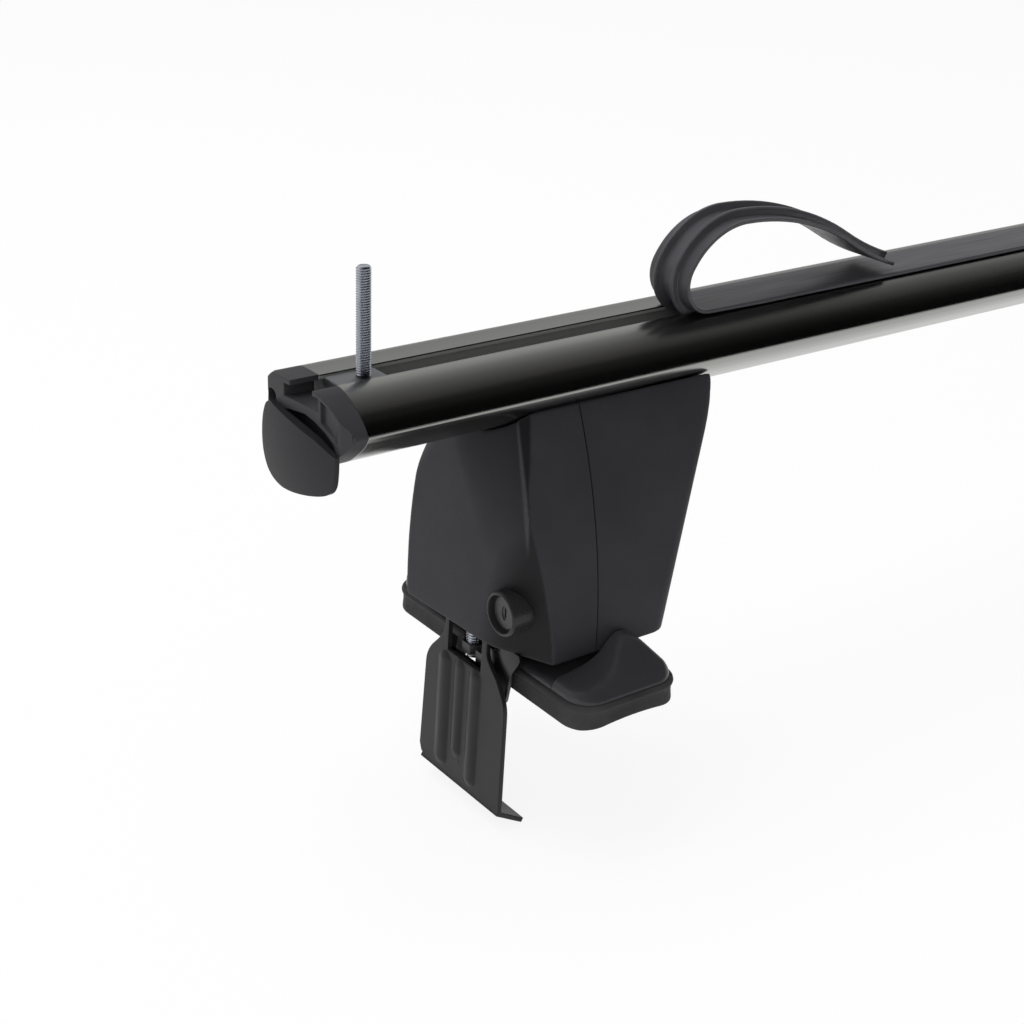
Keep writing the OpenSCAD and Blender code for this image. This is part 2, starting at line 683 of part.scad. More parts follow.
module pin_clips() {
    color([0.3, 0.3, 0.3]) for (s = [0, 1]) mirror([0, s, 0])
        translate([pivot_x, cheek_y + cheek_t + 1.3, pivot_z]) rotate([90, 0, 0]) difference() {
            cylinder(r = 6.6, h = 1.1);
            translate([0, 0, -1]) cylinder(r = pivot_r, h = 4);
        }
}

module cap_near() cap_body();
module cap_near_lid() lid_body();
module cap_near_pin() lid_pin();
module cap_near_screw() cap_screw();
module cap_far() mirror([1, 0, 0]) cap_body();
module cap_far_lid() mirror([1, 0, 0]) shut() lid_body();
module cap_far_pin() mirror([1, 0, 0]) lid_pin();
module cap_far_screw() mirror([1, 0, 0]) cap_screw();

module near_bracket() at_near() bracket();
module near_outer_cover() at_near() outer_cover();
module near_inner_cover() at_near() inner_cover();
module near_lock_plug() at_near() lock_plug();
module near_lock_cam() at_near() lock_cam();
module near_cam_screw() at_near() cam_screw();
module near_saddle() at_near() saddle();
module near_sole() at_near() sole();
module near_pivot_pin() at_near() pivot_pin();
module near_pin_clips() at_near() pin_clips();
module near_hook() at_near() hook();
module near_hook_nut() at_near() hook_nut();
module near_tension_screw() at_near() tension_screw();
module near_stop_nut() at_near() stop_nut();
module near_washer() at_near() washer();
module near_clamp_bolts() at_near() clamp_bolts();
module near_clamp_nuts() at_near() clamp_nuts();
module near_clamp_washers() at_near() clamp_washers();
module far_bracket() at_far() bracket();
module far_outer_cover() at_far() outer_cover();
module far_inner_cover() at_far() inner_cover();
module far_lock_plug() at_far() lock_plug();
module far_lock_cam() at_far() lock_cam();
module far_cam_screw() at_far() cam_screw();
module far_saddle() at_far() saddle();
module far_sole() at_far() sole();
module far_pivot_pin() at_far() pivot_pin();
module far_pin_clips() at_far() pin_clips();
module far_hook() at_far() hook();
module far_hook_nut() at_far() hook_nut();
module far_tension_screw() at_far() tension_screw();
module far_stop_nut() at_far() stop_nut();
module far_washer() at_far() washer();
module far_clamp_bolts() at_far() clamp_bolts();
module far_clamp_nuts() at_far() clamp_nuts();
module far_clamp_washers() at_far() clamp_washers();

crossbar();
slot_strip();
t_bolt();
cap_near();
cap_near_lid();
cap_near_pin();
cap_near_screw();
cap_far();
cap_far_lid();
cap_far_pin();
cap_far_screw();
near_bracket();
near_outer_cover();
near_inner_cover();
near_lock_plug();
near_lock_cam();
near_cam_screw();
near_saddle();
near_sole();
near_pivot_pin();
near_pin_clips();
near_hook();
near_hook_nut();
near_tension_screw();
near_stop_nut();
near_washer();
near_clamp_bolts();
near_clamp_nuts();
near_clamp_washers();
far_bracket();
far_outer_cover();
far_inner_cover();
far_lock_plug();
far_lock_cam();
far_cam_screw();
far_saddle();
far_sole();
far_pivot_pin();
far_pin_clips();
far_hook();
far_hook_nut();
far_tension_screw();
far_stop_nut();
far_washer();
far_clamp_bolts();
far_clamp_nuts();
far_clamp_washers();
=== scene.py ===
"""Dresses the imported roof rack: finishes, rubber strip, threads, rounded edges, studio and camera."""

import logging
import math
from dataclasses import dataclass, field
from enum import Enum
from typing import Callable, Sequence

import bmesh
import bpy
from mathutils import Matrix, Vector


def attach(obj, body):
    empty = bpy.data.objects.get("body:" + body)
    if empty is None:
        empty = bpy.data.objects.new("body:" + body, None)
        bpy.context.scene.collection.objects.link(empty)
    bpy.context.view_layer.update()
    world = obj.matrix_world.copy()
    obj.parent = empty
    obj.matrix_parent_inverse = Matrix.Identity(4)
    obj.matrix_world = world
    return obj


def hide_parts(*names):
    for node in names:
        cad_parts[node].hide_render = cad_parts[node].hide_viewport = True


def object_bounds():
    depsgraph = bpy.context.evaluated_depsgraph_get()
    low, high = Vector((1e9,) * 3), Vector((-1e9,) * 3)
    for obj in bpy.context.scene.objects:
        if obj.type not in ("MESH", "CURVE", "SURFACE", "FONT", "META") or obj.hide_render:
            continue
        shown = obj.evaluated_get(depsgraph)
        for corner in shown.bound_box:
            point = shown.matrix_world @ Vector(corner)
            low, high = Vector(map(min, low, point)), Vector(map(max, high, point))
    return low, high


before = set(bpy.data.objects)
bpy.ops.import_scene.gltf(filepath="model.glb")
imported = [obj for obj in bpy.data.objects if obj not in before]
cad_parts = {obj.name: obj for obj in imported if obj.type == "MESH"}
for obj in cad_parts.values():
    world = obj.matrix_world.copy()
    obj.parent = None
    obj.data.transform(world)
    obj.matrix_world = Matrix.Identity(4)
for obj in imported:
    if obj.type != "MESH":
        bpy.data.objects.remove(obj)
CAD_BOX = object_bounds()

log = logging.getLogger("roof_rack")
MM = 0.001
BAR_TOP = 148.0
FOOT_SEAM = 437.4
Point = tuple[float, float, float]
Colour = tuple[float, float, float]
Mesh = tuple[list[Point], list[list[int]]]


class End(Enum):
    """The two ends of the bar."""

    NEAR = "near"
    FAR = "far"

    @property
    def sign(self) -> int:
        """1 for the near end and -1 for the far end, whose foot is turned half a turn."""
        return 1 if self is End.NEAR else -1


class ShaderGraph:
    """A material's node tree, with short calls for the nodes that the finishes share."""

    def __init__(self, name: str) -> None:
        """Makes the material and its Principled shader.

        Args:
            name: name of the material.
        """
        self.material = bpy.data.materials.new(name)
        self.material.use_nodes = True
        self.tree = self.material.node_tree
        self.shader = self.tree.nodes["Principled BSDF"]

    def node(self, kind: str, **values: object) -> bpy.types.Node:
        """Adds a node.

        Args:
            kind: Blender's name of the node type.
            values: attributes to set on it.

        Returns:
            The new node.
        """
        made = self.tree.nodes.new(kind)
        for key, value in values.items():
            setattr(made, key, value)
        return made

    def link(self, out: bpy.types.NodeSocket, into: bpy.types.NodeSocket) -> None:
        """Joins two sockets."""
        self.tree.links.new(out, into)

    def surface(self, colour: Colour, rough: float, metal: float = 0.0, specular: float = 0.5) -> None:
        """Sets what is the same all over the surface.

        Args:
            colour: base colour, linear.
            rough: roughness.
            metal: metallic share.
            specular: specular level.
        """
        sockets = self.shader.inputs
        sockets["Base Color"].default_value = (*colour, 1.0)
        sockets["Roughness"].default_value = rough
        sockets["Metallic"].default_value = metal
        sockets["Specular IOR Level"].default_value = specular

    def noise(
        self, scale: float, stretch: Point = (1.0, 1.0, 1.0), detail: float = 3.0
    ) -> bpy.types.NodeSocket:
        """Adds a noise in the piece's own coordinates.

        Args:
            scale: waves per metre.
            stretch: scale along each axis, small along the axis that the pattern runs in.
            detail: octaves.

        Returns:
            The noise's value socket.
        """
        place = self.node("ShaderNodeTexCoord")
        mapping = self.node("ShaderNodeMapping")
        mapping.inputs["Scale"].default_value = stretch
        made = self.node("ShaderNodeTexNoise")
        made.inputs["Scale"].default_value = scale
        made.inputs["Detail"].default_value = detail
        self.link(place.outputs["Object"], mapping.inputs["Vector"])
        self.link(mapping.outputs["Vector"], made.inputs["Vector"])
        return made.outputs["Fac"]

    def ramp(
        self, value: bpy.types.NodeSocket, stops: Sequence[tuple[float, Colour]]
    ) -> bpy.types.NodeSocket:
        """Adds a colour ramp.

        Args:
            value: what the ramp reads.
            stops: position and colour of each stop.

        Returns:
            The ramp's colour socket.
        """
        made = self.node("ShaderNodeValToRGB")
        made.color_ramp.elements[0].position = stops[0][0]
        made.color_ramp.elements[0].color = (*stops[0][1], 1.0)
        made.color_ramp.elements[1].position = stops[-1][0]
        made.color_ramp.elements[1].color = (*stops[-1][1], 1.0)
        for position, colour in stops[1:-1]:
            made.color_ramp.elements.new(position).color = (*colour, 1.0)
        self.link(value, made.inputs["Fac"])
        return made.outputs["Color"]

    def spread(self, value: bpy.types.NodeSocket, low: float, high: float) -> bpy.types.NodeSocket:
        """Maps a noise onto a range.

        Args:
            value: the noise.
            low: result at its usual low.
            high: result at its usual high.

        Returns:
            The mapped value socket.
        """
        made = self.node("ShaderNodeMapRange")
        made.inputs["From Min"].default_value = 0.3
        made.inputs["From Max"].default_value = 0.7
        made.inputs["To Min"].default_value = low
        made.inputs["To Max"].default_value = high
        self.link(value, made.inputs["Value"])
        return made.outputs["Result"]

    def vary_rough(self, value: bpy.types.NodeSocket, low: float, high: float) -> None:
        """Lets a noise vary the roughness between two values."""
        self.link(self.spread(value, low, high), self.shader.inputs["Roughness"])

    def bump(self, value: bpy.types.NodeSocket, depth_mm: float, strength: float = 1.0) -> None:
        """Raises the surface by a noise.

        Args:
            value: height between 0 and 1.
            depth_mm: height of the relief.
            strength: share of it that shades.
        """
        made = self.node("ShaderNodeBump")
        made.inputs["Distance"].default_value = depth_mm * MM
        made.inputs["Strength"].default_value = strength
        self.link(value, made.inputs["Height"])
        self.link(made.outputs["Normal"], self.shader.inputs["Normal"])


def mixed(colour: Colour, factor: float) -> Colour:
    """A colour made darker or lighter by a factor."""
    return (colour[0] * factor, colour[1] * factor, colour[2] * factor)


@dataclass(frozen=True)
class MouldedPlastic:
    """Matt injection moulding with a fine spark-eroded grain."""

    name: str
    colour: Colour = (0.021, 0.021, 0.0235)
    rough: float = 0.5
    grain_mm: float = 0.45
    depth_mm: float = 0.05

    specular: float = 0.28
    facet_shaded: bool = False

    def material(self) -> bpy.types.Material:
        """Builds the finish.

        Returns:
            The finish as a material.
        """
        graph = ShaderGraph(self.name)
        graph.surface(self.colour, self.rough, specular=self.specular)
        cloud = graph.noise(38.0, detail=4.0)
        colour = graph.ramp(cloud, [(0.25, mixed(self.colour, 0.86)), (0.75, mixed(self.colour, 1.14))])
        # Painted shade: the colour is scaled by the vertex attribute tone, which the cover halves set from
        # how each part of the skin faces.
        if self.facet_shaded:
            tone = graph.node("ShaderNodeAttribute", attribute_name="tone")
            tint = graph.node("ShaderNodeVectorMath", operation="SCALE")
            graph.link(colour, tint.inputs[0])
            graph.link(tone.outputs["Fac"], tint.inputs["Scale"])
            colour = tint.outputs["Vector"]
        graph.link(colour, graph.shader.inputs["Base Color"])
        grain = graph.noise(1.0 / (self.grain_mm * MM), detail=2.0)
        graph.vary_rough(grain, self.rough - 0.06, self.rough + 0.07)
        graph.bump(grain, self.depth_mm, 0.55)
        return graph.material


@dataclass(frozen=True)
class Rubber:
    """Dull rubber with a soft bloom, drawn out along one axis where it is extruded."""

    name: str
    colour: Colour = (0.018, 0.018, 0.019)
    rough: float = 0.62
    stretch: Point = (1.0, 1.0, 1.0)
    depth_mm: float = 0.04
    specular: float = 0.15

    def material(self) -> bpy.types.Material:
        """Builds the finish.

        Returns:
            The finish as a material.
        """
        graph = ShaderGraph(self.name)
        graph.surface(self.colour, self.rough, specular=self.specular)
        bloom = graph.noise(60.0, self.stretch, 5.0)
        graph.link(
            graph.ramp(bloom, [(0.3, mixed(self.colour, 0.8)), (0.7, mixed(self.colour, 1.3))]),
            graph.shader.inputs["Base Color"],
        )
        skin = graph.noise(900.0, self.stretch, 2.0)
        graph.vary_rough(skin, self.rough - 0.08, self.rough + 0.06)
        graph.bump(skin, self.depth_mm, 0.5)
        return graph.material


@dataclass(frozen=True)
class AnodisedExtrusion:
    """Dark satin anodised aluminium with faint die lines along the bar, and painted light inside the T-slot.
    """

    name: str
    colour: Colour = (0.30, 0.30, 0.285)
    rough: float = 0.2
    # Colour and bounds of the painted light inside the T-slot.
    slot_light_colour: Colour = (0.27, 0.27, 0.265)
    slot_half: float = 10.6
    slot_levels: tuple[float, float] = (139.0, 147.4)

    def material(self) -> bpy.types.Material:
        """Builds the finish.

        Returns:
            The finish as a material.
        """
        graph = ShaderGraph(self.name)
        graph.surface(self.colour, self.rough, metal=1.0)
        lines = graph.noise(1400.0, (0.006, 1.0, 1.0), 2.0)
        tone = graph.noise(14.0, (0.35, 1.0, 1.0), 3.0)
        graph.link(
            graph.ramp(tone, [(0.3, mixed(self.colour, 0.95)), (0.7, mixed(self.colour, 1.05))]),
            graph.shader.inputs["Base Color"],
        )
        graph.vary_rough(lines, self.rough - 0.03, self.rough + 0.05)
        graph.bump(lines, 0.012, 0.35)
        self.slot_painted_light(graph)
        return graph.material

    def slot_painted_light(self, graph: ShaderGraph) -> None:
        """Paints the inside of the T-slot duller and lighter than the anodised skin: painted light that
        stands in for light reflected down into the slot.

        Args:
            graph: the finish so far.
        """
        place = graph.node("ShaderNodeTexCoord")
        split = graph.node("ShaderNodeSeparateXYZ")
        graph.link(place.outputs["Object"], split.inputs[0])
        across = graph.node("ShaderNodeMath", operation="ABSOLUTE")
        graph.link(split.outputs["Y"], across.inputs[0])
        inside = None
        for socket, operation, limit in (
            (across.outputs[0], "LESS_THAN", self.slot_half * MM),
            (split.outputs["Z"], "LESS_THAN", self.slot_levels[1] * MM),
            (split.outputs["Z"], "GREATER_THAN", self.slot_levels[0] * MM),
        ):
            test = graph.node("ShaderNodeMath", operation=operation)
            test.inputs[1].default_value = limit
            graph.link(socket, test.inputs[0])
            if inside is None:
                inside = test.outputs[0]
            else:
                both = graph.node("ShaderNodeMath", operation="MULTIPLY")
                graph.link(inside, both.inputs[0])
                graph.link(test.outputs[0], both.inputs[1])
                inside = both.outputs[0]
        # Painted light: inside the slot the metal turns mostly diffuse, so it catches more of the light
        # around it.
        metal = graph.node("ShaderNodeMapRange")
        metal.inputs["To Min"].default_value = 1.0
        metal.inputs["To Max"].default_value = 0.3
        graph.link(inside, metal.inputs["Value"])
        graph.link(metal.outputs["Result"], graph.shader.inputs["Metallic"])
        # Painted light: inside the slot the base colour is swapped for the slot's colour.
        tint = graph.node("ShaderNodeMix", data_type="RGBA")
        tint.inputs["B"].default_value = (*self.slot_light_colour, 1.0)
        before = graph.shader.inputs["Base Color"].links[0].from_socket
        graph.link(inside, tint.inputs["Factor"])
        graph.link(before, tint.inputs["A"])
        graph.link(tint.outputs["Result"], graph.shader.inputs["Base Color"])


@dataclass(frozen=True)
class PaintedSteel:
    """Black paint on pressed steel, with a slight orange peel."""

    name: str
    colour: Colour = (0.0105, 0.0105, 0.011)
    rough: float = 0.36
    specular: float = 0.45

    def material(self) -> bpy.types.Material:
        """Builds the finish.

        Returns:
            The finish as a material.
        """
        graph = ShaderGraph(self.name)
        graph.surface(self.colour, self.rough, specular=self.specular)
        peel = graph.noise(420.0, detail=2.0)
        tone = graph.noise(45.0, detail=4.0)
        graph.link(
            graph.ramp(tone, [(0.3, mixed(self.colour, 0.75)), (0.7, mixed(self.colour, 1.35))]),
            graph.shader.inputs["Base Color"],
        )
        graph.vary_rough(tone, self.rough - 0.05, self.rough + 0.08)
        graph.bump(peel, 0.03, 0.3)
        return graph.material


@dataclass(frozen=True)
class PlatedSteel:
    """Bright or dulled plating on turned steel."""

    name: str
    colour: Colour = (0.60, 0.62, 0.67)
    rough: float = 0.26

    def material(self) -> bpy.types.Material:
        """Builds the finish.

        Returns:
            The finish as a material.
        """
        graph = ShaderGraph(self.name)
        graph.surface(self.colour, self.rough, metal=1.0)
        stain = graph.noise(160.0, detail=5.0)
        graph.link(
            graph.ramp(stain, [(0.3, mixed(self.colour, 0.8)), (0.7, mixed(self.colour, 1.08))]),
            graph.shader.inputs["Base Color"],
        )
        graph.vary_rough(stain, self.rough - 0.07, self.rough + 0.14)
        graph.bump(graph.noise(1800.0, detail=2.0), 0.01, 0.3)
        return graph.material


@dataclass(frozen=True)
class Finishes:
    """Every finish of the rack, one per material slot of the record."""

    made: dict[str, bpy.types.Material] = field(default_factory=dict)

    def prepare(self) -> None:
        """Builds all the materials once."""
        catalogue = {
            "bar": AnodisedExtrusion("anodised_bar"),
            "strip": Rubber("strip_rubber", (0.058, 0.057, 0.064), 0.42, (0.03, 1.0, 1.0), specular=0.35),
            "zinc": PlatedSteel("zinc_plate", (0.60, 0.63, 0.70), 0.24),
            "plate": PlatedSteel("dull_zinc", (0.33, 0.34, 0.35), 0.5),
            "cap": MouldedPlastic("cap_moulding", (0.0330, 0.0325, 0.0355), 0.46),
            "lid": MouldedPlastic("lid_moulding", (0.0175, 0.0170, 0.0200), 0.46, specular=0.24),
            # This black serves the real arm and the plates of painted shade behind the hook's window.
            "guide": PaintedSteel("arm_and_shade_black", (0.002, 0.002, 0.002), 0.3),
            "bracket": PaintedSteel("bracket_powder_coat", (0.012, 0.012, 0.012), 0.5),
            # The cover's flats get painted shade through the tone attribute.
            "cover": MouldedPlastic("cover_moulding_facet_shade", (0.0300, 0.0288, 0.0335), specular=0.15, facet_shaded=True),
            "drum": MouldedPlastic("drum_moulding", (0.022, 0.022, 0.023), 0.3, 0.4, 0.02),
            "lock": PaintedSteel("lock_black", (0.03, 0.03, 0.031), 0.36),
            "steel": PlatedSteel("plain_steel", (0.45, 0.45, 0.46), 0.38),
            "dark_steel": PaintedSteel("black_oxide", (0.012, 0.012, 0.012), 0.34),
            "saddle": MouldedPlastic("saddle_moulding", (0.032, 0.0315, 0.035), 0.33, 0.6, 0.035, 0.42),
            "sole": Rubber("sole_rubber", (0.034, 0.033, 0.033)),
            "hook": PaintedSteel("hook_paint", (0.013, 0.013, 0.0132), 0.4, 0.26),
        }
        for slot, finish in catalogue.items():
            self.made[slot] = finish.material()

    def dress(self, piece: bpy.types.Object, slot: str) -> None:
        """Gives a piece the finish of a record slot.

        Args:
            piece: CAD node or new piece.
            slot: name of the slot in the record.
        """
        piece.data.materials.clear()
        piece.data.materials.append(self.made[slot])


@dataclass(frozen=True)
class EdgeRounding:
    """Rounded edges as modifiers, which leave a CAD node's own mesh as it is."""

    width_mm: float
    segments: int = 2
    limit_deg: float = 30.0
    clamped: bool = False

    def apply(self, piece: bpy.types.Object) -> None:
        """Adds the modifiers to a piece.

        Args:
            piece: the CAD node.
        """
        weld = piece.modifiers.new("weld", "WELD")
        weld.merge_threshold = 0.002 * MM
        if self.width_mm > 0:
            bevel = piece.modifiers.new("round", "BEVEL")
            bevel.limit_method = "ANGLE"
            bevel.angle_limit = math.radians(self.limit_deg)
            bevel.width = self.width_mm * MM
            bevel.segments = self.segments
            bevel.use_clamp_overlap = self.clamped
        normals = piece.modifiers.new("shading", "WEIGHTED_NORMAL")
        normals.keep_sharp = False
        normals.weight = 60


def new_piece(
    name: str, points: Sequence[Point], faces: Sequence[Sequence[int]], body: str, sharp_deg: float = 180.0
) -> bpy.types.Object:
    """Makes a smooth-shaded mesh piece that rides on a body.

    Args:
        name: name of the piece.
        points: vertices in metres, in the row frame.
        faces: vertex numbers of each face.
        body: CAD body that it moves with.
        sharp_deg: edges that turn by more than this stay crisp.

    Returns:
        The new object.
    """
    mesh = bpy.data.meshes.new(name)
    mesh.from_pydata([Vector(p) for p in points], [], [list(f) for f in faces])
    mesh.validate()
    shape = bmesh.new()
    shape.from_mesh(mesh)
    bmesh.ops.remove_doubles(shape, verts=shape.verts, dist=0.001 * MM)
    bmesh.ops.recalc_face_normals(shape, faces=shape.faces)
    shape.to_mesh(mesh)
    shape.free()
    mesh.shade_smooth()
    if sharp_deg < 180.0:
        mesh.set_sharp_from_angle(angle=math.radians(sharp_deg))
    piece = bpy.data.objects.new(name, mesh)
    bpy.context.scene.collection.objects.link(piece)
    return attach(piece, body)


def sweep(sections: Sequence[Sequence[Point]]) -> Mesh:
    """Skins closed sections into a tube with closed ends.

    Args:
        sections: rings with the same number of points.

    Returns:
        The points and the faces.
    """
    count = len(sections[0])
    points = [p for section in sections for p in section]
    faces = []
    for ring in range(len(sections) - 1):
        low, high = ring * count, (ring + 1) * count
        for k in range(count):
            nxt = (k + 1) % count
            faces.append([low + k, low + nxt, high + nxt, high + k])
    faces.append(list(range(count - 1, -1, -1)))
    faces.append([len(points) - count + k for k in range(count)])
    return points, faces


@dataclass(frozen=True)
class ThreadedRod:
    """A rod along Z with a real helical thread, in millimetres."""

    radius: float
    pitch: float
    low: float
    high: float
    plain_above: float
    around: int = 36
    per_pitch: int = 8

    def depth_at(self, z: float, turn: float) -> float:
        """Depth of the thread.

        Args:
            z: height.
            turn: angle round the rod, from 0 to 1.

        Returns:
            Depth under the crest.
        """
        if z > self.plain_above:
            return 0.0
        phase = ((z / self.pitch) - turn) % 1.0
        fall = min(abs(phase - 0.5) * 2.0 / 0.82, 1.0)
        ends = min((z - self.low) / (0.6 * self.pitch), 1.0)
        return self.pitch * (0.5 * (1.0 - fall) + 0.3 * (1.0 - max(ends, 0.0)))

    def rings(self, centre: tuple[float, float]) -> list[list[Point]]:
        """Sections of the rod.

        Args:
            centre: the rod's axis in X and Y, in millimetres.

        Returns:
            Rings of points in metres.
        """
        made = []
        steps = max(2, int((self.high - self.low) / self.pitch * self.per_pitch))
        for i in range(steps + 1):
            z = self.low + (self.high - self.low) * i / steps
            ring = []
            for k in range(self.around):
                angle = 2 * math.pi * k / self.around
                reach = self.radius - self.depth_at(z, k / self.around)
                ring.append((
                    (centre[0] + reach * math.cos(angle)) * MM,
                    (centre[1] + reach * math.sin(angle)) * MM,
                    z * MM,
                ))
            made.append(ring)
        return made


def rounded_box(low: Point, high: Point, radius: float) -> Mesh:
    """A box with rounded upright edges and a small chamfer above and below, in millimetres.

    Args:
        low: lowest corner.
        high: highest corner.
        radius: radius of the upright edges.

    Returns:
        The points in metres and the faces.
    """
    edge = 0.35
    rings = []
    for z, inset in ((low[2], edge), (low[2] + edge, 0.0), (high[2] - edge, 0.0), (high[2], edge)):
        ring = []
        corners = (
            (high[0], high[1], 0), (low[0], high[1], 90), (low[0], low[1], 180), (high[0], low[1], 270),
        )
        for x, y, start in corners:
            middle_x = x - math.copysign(radius, x - (low[0] + high[0]) / 2)
            middle_y = y - math.copysign(radius, y - (low[1] + high[1]) / 2)
            for k in range(4):
                angle = math.radians(start + 30 * k)
                ring.append((
                    (middle_x + (radius - inset) * math.cos(angle)) * MM,
                    (middle_y + (radius - inset) * math.sin(angle)) * MM,
                    z * MM,
                ))
        rings.append(ring)
    return sweep(rings)


def lattice(grid: Sequence[Sequence[Point]], around: bool = False) -> Mesh:
    """Skins a grid of points.

    Args:
        grid: rows with the same number of points.
        around: whether both the rows and the columns close on themselves.

    Returns:
        The points and the faces.
    """
    rows, cols = len(grid), len(grid[0])
    faces = []
    for i in range(rows if around else rows - 1):
        for j in range(cols if around else cols - 1):
            right, above = (j + 1) % cols, (i + 1) % rows
            faces.append([i * cols + j, i * cols + right, above * cols + right, above * cols + j])
    return [p for row in grid for p in row], faces


def joined(parts: Sequence[Mesh]) -> Mesh:
    """Puts several meshes into one.

    Args:
        parts: points and faces of each.

    Returns:
        All the points and faces.
    """
    points: list[Point] = []
    faces: list[list[int]] = []
    for some, more in parts:
        start = len(points)
        points += some
        faces += [[start + k for k in face] for face in more]
    return points, faces


def curve(table: Sequence[tuple[float, float]], x: float) -> float:
    """Smooth line through a table's points.

    Args:
        table: places and values, by rising place.
        x: the place asked for.

    Returns:
        The value there.
    """
    if x <= table[0][0]:
        return table[0][1]
    if x >= table[-1][0]:
        return table[-1][1]
    k = max(i for i in range(len(table) - 1) if table[i][0] <= x)
    before, here, there, after = (table[min(max(i, 0), len(table) - 1)] for i in (k - 1, k, k + 1, k + 2))
    span = there[0] - here[0]
    t = (x - here[0]) / span
    slope_here = (there[1] - before[1]) / max(there[0] - before[0], 1e-6) * span
    slope_there = (after[1] - here[1]) / max(after[0] - here[0], 1e-6) * span
    low = (2 * t ** 3 - 3 * t ** 2 + 1) * here[1] + (t ** 3 - 2 * t ** 2 + t) * slope_here
    return low + (3 * t ** 2 - 2 * t ** 3) * there[1] + (t ** 3 - t ** 2) * slope_there


def soft_min(a: float, b: float, width: float) -> float:
    """The smaller of two values, blended where they are within a width of each other."""
    near = max(width - abs(a - b), 0.0) / width
    return min(a, b) - near * near * width / 4


def foot_point(end: End, x: float, y: float, z: float) -> Point:
    """A foot's own place, in millimetres from its seam, as a point of the row frame in metres."""
    return (end.sign * (x - FOOT_SEAM) * MM, end.sign * y * MM, z * MM)


@dataclass
class LoadBar:
    """The extruded bar."""

    rounding: EdgeRounding = EdgeRounding(0.22, 2, 40.0)

    def build(self, finishes: Finishes) -> None:
        """Dresses the bar.

        Args:
            finishes: the rack's finishes.
        """
        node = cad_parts["crossbar"]
        finishes.dress(node, "bar")
        self.rounding.apply(node)


@dataclass
class SlotStrip:
    """The rubber strip in the bar's slot, peeled up at the near end."""

    far_end: float = 539.5
    lift: float = -357.5
    half: float = 12.7
    thick: float = 1.8
    leg: float = 6.3
    drop: float = 1.0
    flat: float = 10.0
    rise: float = 30.0
    bends: tuple[tuple[float, float, float], ...] = (
        (14.2, 270.0, 150.0), (35.0, 150.0, 90.0), (130.0, 90.0, 59.0),
    )
    last: tuple[float, float, float] = (161.0, 239.0, 250.4)
    step_deg: float = 2.0

    def outline(self) -> list[tuple[float, float]]:
        """Section of the strip.

        Returns:
            Points across the strip and above its underside, in millimetres.
        """
        half, thick, leg = self.half, self.thick, self.leg
        right = [
            (leg - 2.2, -0.06), (leg - 1.7, -0.5), (leg - 1.6, -3.1), (leg - 1.2, -3.5), (leg - 0.1, -3.4),
            (leg + 0.25, -2.9), (leg + 0.2, -2.5), (leg - 0.1, -2.1), (leg - 0.1, -0.35), (leg + 0.25, 0.02),
            (half - 2.2, 0.02), (half - 0.5, 0.06), (half - 0.12, 0.25), (half, 0.6),
            (half - 0.02, thick - 0.6), (half - 0.25, thick - 0.15), (half - 0.8, thick + 0.02),
            (half - 5.0, thick + 0.02),
        ]
        left = [(-y, h) for y, h in reversed(right)]
        return right + left

    def line(self) -> list[tuple[float, float, float, float, float]]:
        """The strip's line from the far end to the tip.

        Returns:
            Place in X and Z, direction of the top side in X and Z, and how far it lies in the slot.
        """
        path = [(x, 0.0, 0.0, 1.0, 1.0) for x in (self.far_end, 0.0, self.lift + self.rise)]
        for k in range(1, 9):
            path.append((self.lift + self.rise - 3.7 * k, 0.0, 0.0, 1.0, 1.0 - k / 9))
        radius, start, _ = self.bends[0]
        centre = (self.lift, radius)
        for k, (radius, start, stop) in enumerate(self.bends):
            if k:
                before = self.bends[k - 1][0]
                angle = math.radians(start)
                centre = (
                    centre[0] + (before - radius) * math.cos(angle),
                    centre[1] + (before - radius) * math.sin(angle),
                )
            path += self.arc(centre, radius, start, stop, -1.0)
        angle = math.radians(self.bends[-1][2])
        reach = self.bends[-1][0] + self.last[0]
        centre = (centre[0] + reach * math.cos(angle), centre[1] + reach * math.sin(angle))
        path += self.arc(centre, self.last[0], self.last[1], self.last[2], 1.0)
        return path

    def arc(
        self, centre: tuple[float, float], radius: float, start: float, stop: float, side: float
    ) -> list[tuple[float, float, float, float, float]]:
        """Points of one bend.

        Args:
            centre: centre in X and Z.
            radius: radius of the underside.
            start: first angle in degrees.
            stop: last angle in degrees.
            side: 1 where the top side faces away from the centre, else -1.

        Returns:
            Points as in line.
        """
        count = max(2, int(abs(stop - start) / self.step_deg))
        made = []
        for k in range(1, count + 1):
            angle = math.radians(start + (stop - start) * k / count)
            out = (math.cos(angle), math.sin(angle))
            made.append((
                centre[0] + radius * out[0], centre[1] + radius * out[1], side * out[0], side * out[1], 0.0,
            ))
        return made

    def build(self, finishes: Finishes) -> None:
        """Builds the strip as one swept mesh.

        Args:
            finishes: the rack's finishes.
        """
        section = self.outline()
        rings = []
        for x, z, top_x, top_z, laid in self.line():
            ring = []
            for y, h in section:
                fall = max(0.0, (-y - self.flat) / 4.0) ** 1.3 * self.drop * laid
                level = h - fall
                ring.append(((x + top_x * level) * MM, y * MM, (BAR_TOP + z + top_z * level) * MM))
            rings.append(ring)
        points, faces = sweep(rings)
        piece = new_piece("rubber_strip", points, faces, "bar")
        finishes.dress(piece, "strip")
        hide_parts("slot_strip")
        split = piece.modifiers.new("shading", "WEIGHTED_NORMAL")
        split.weight = 60


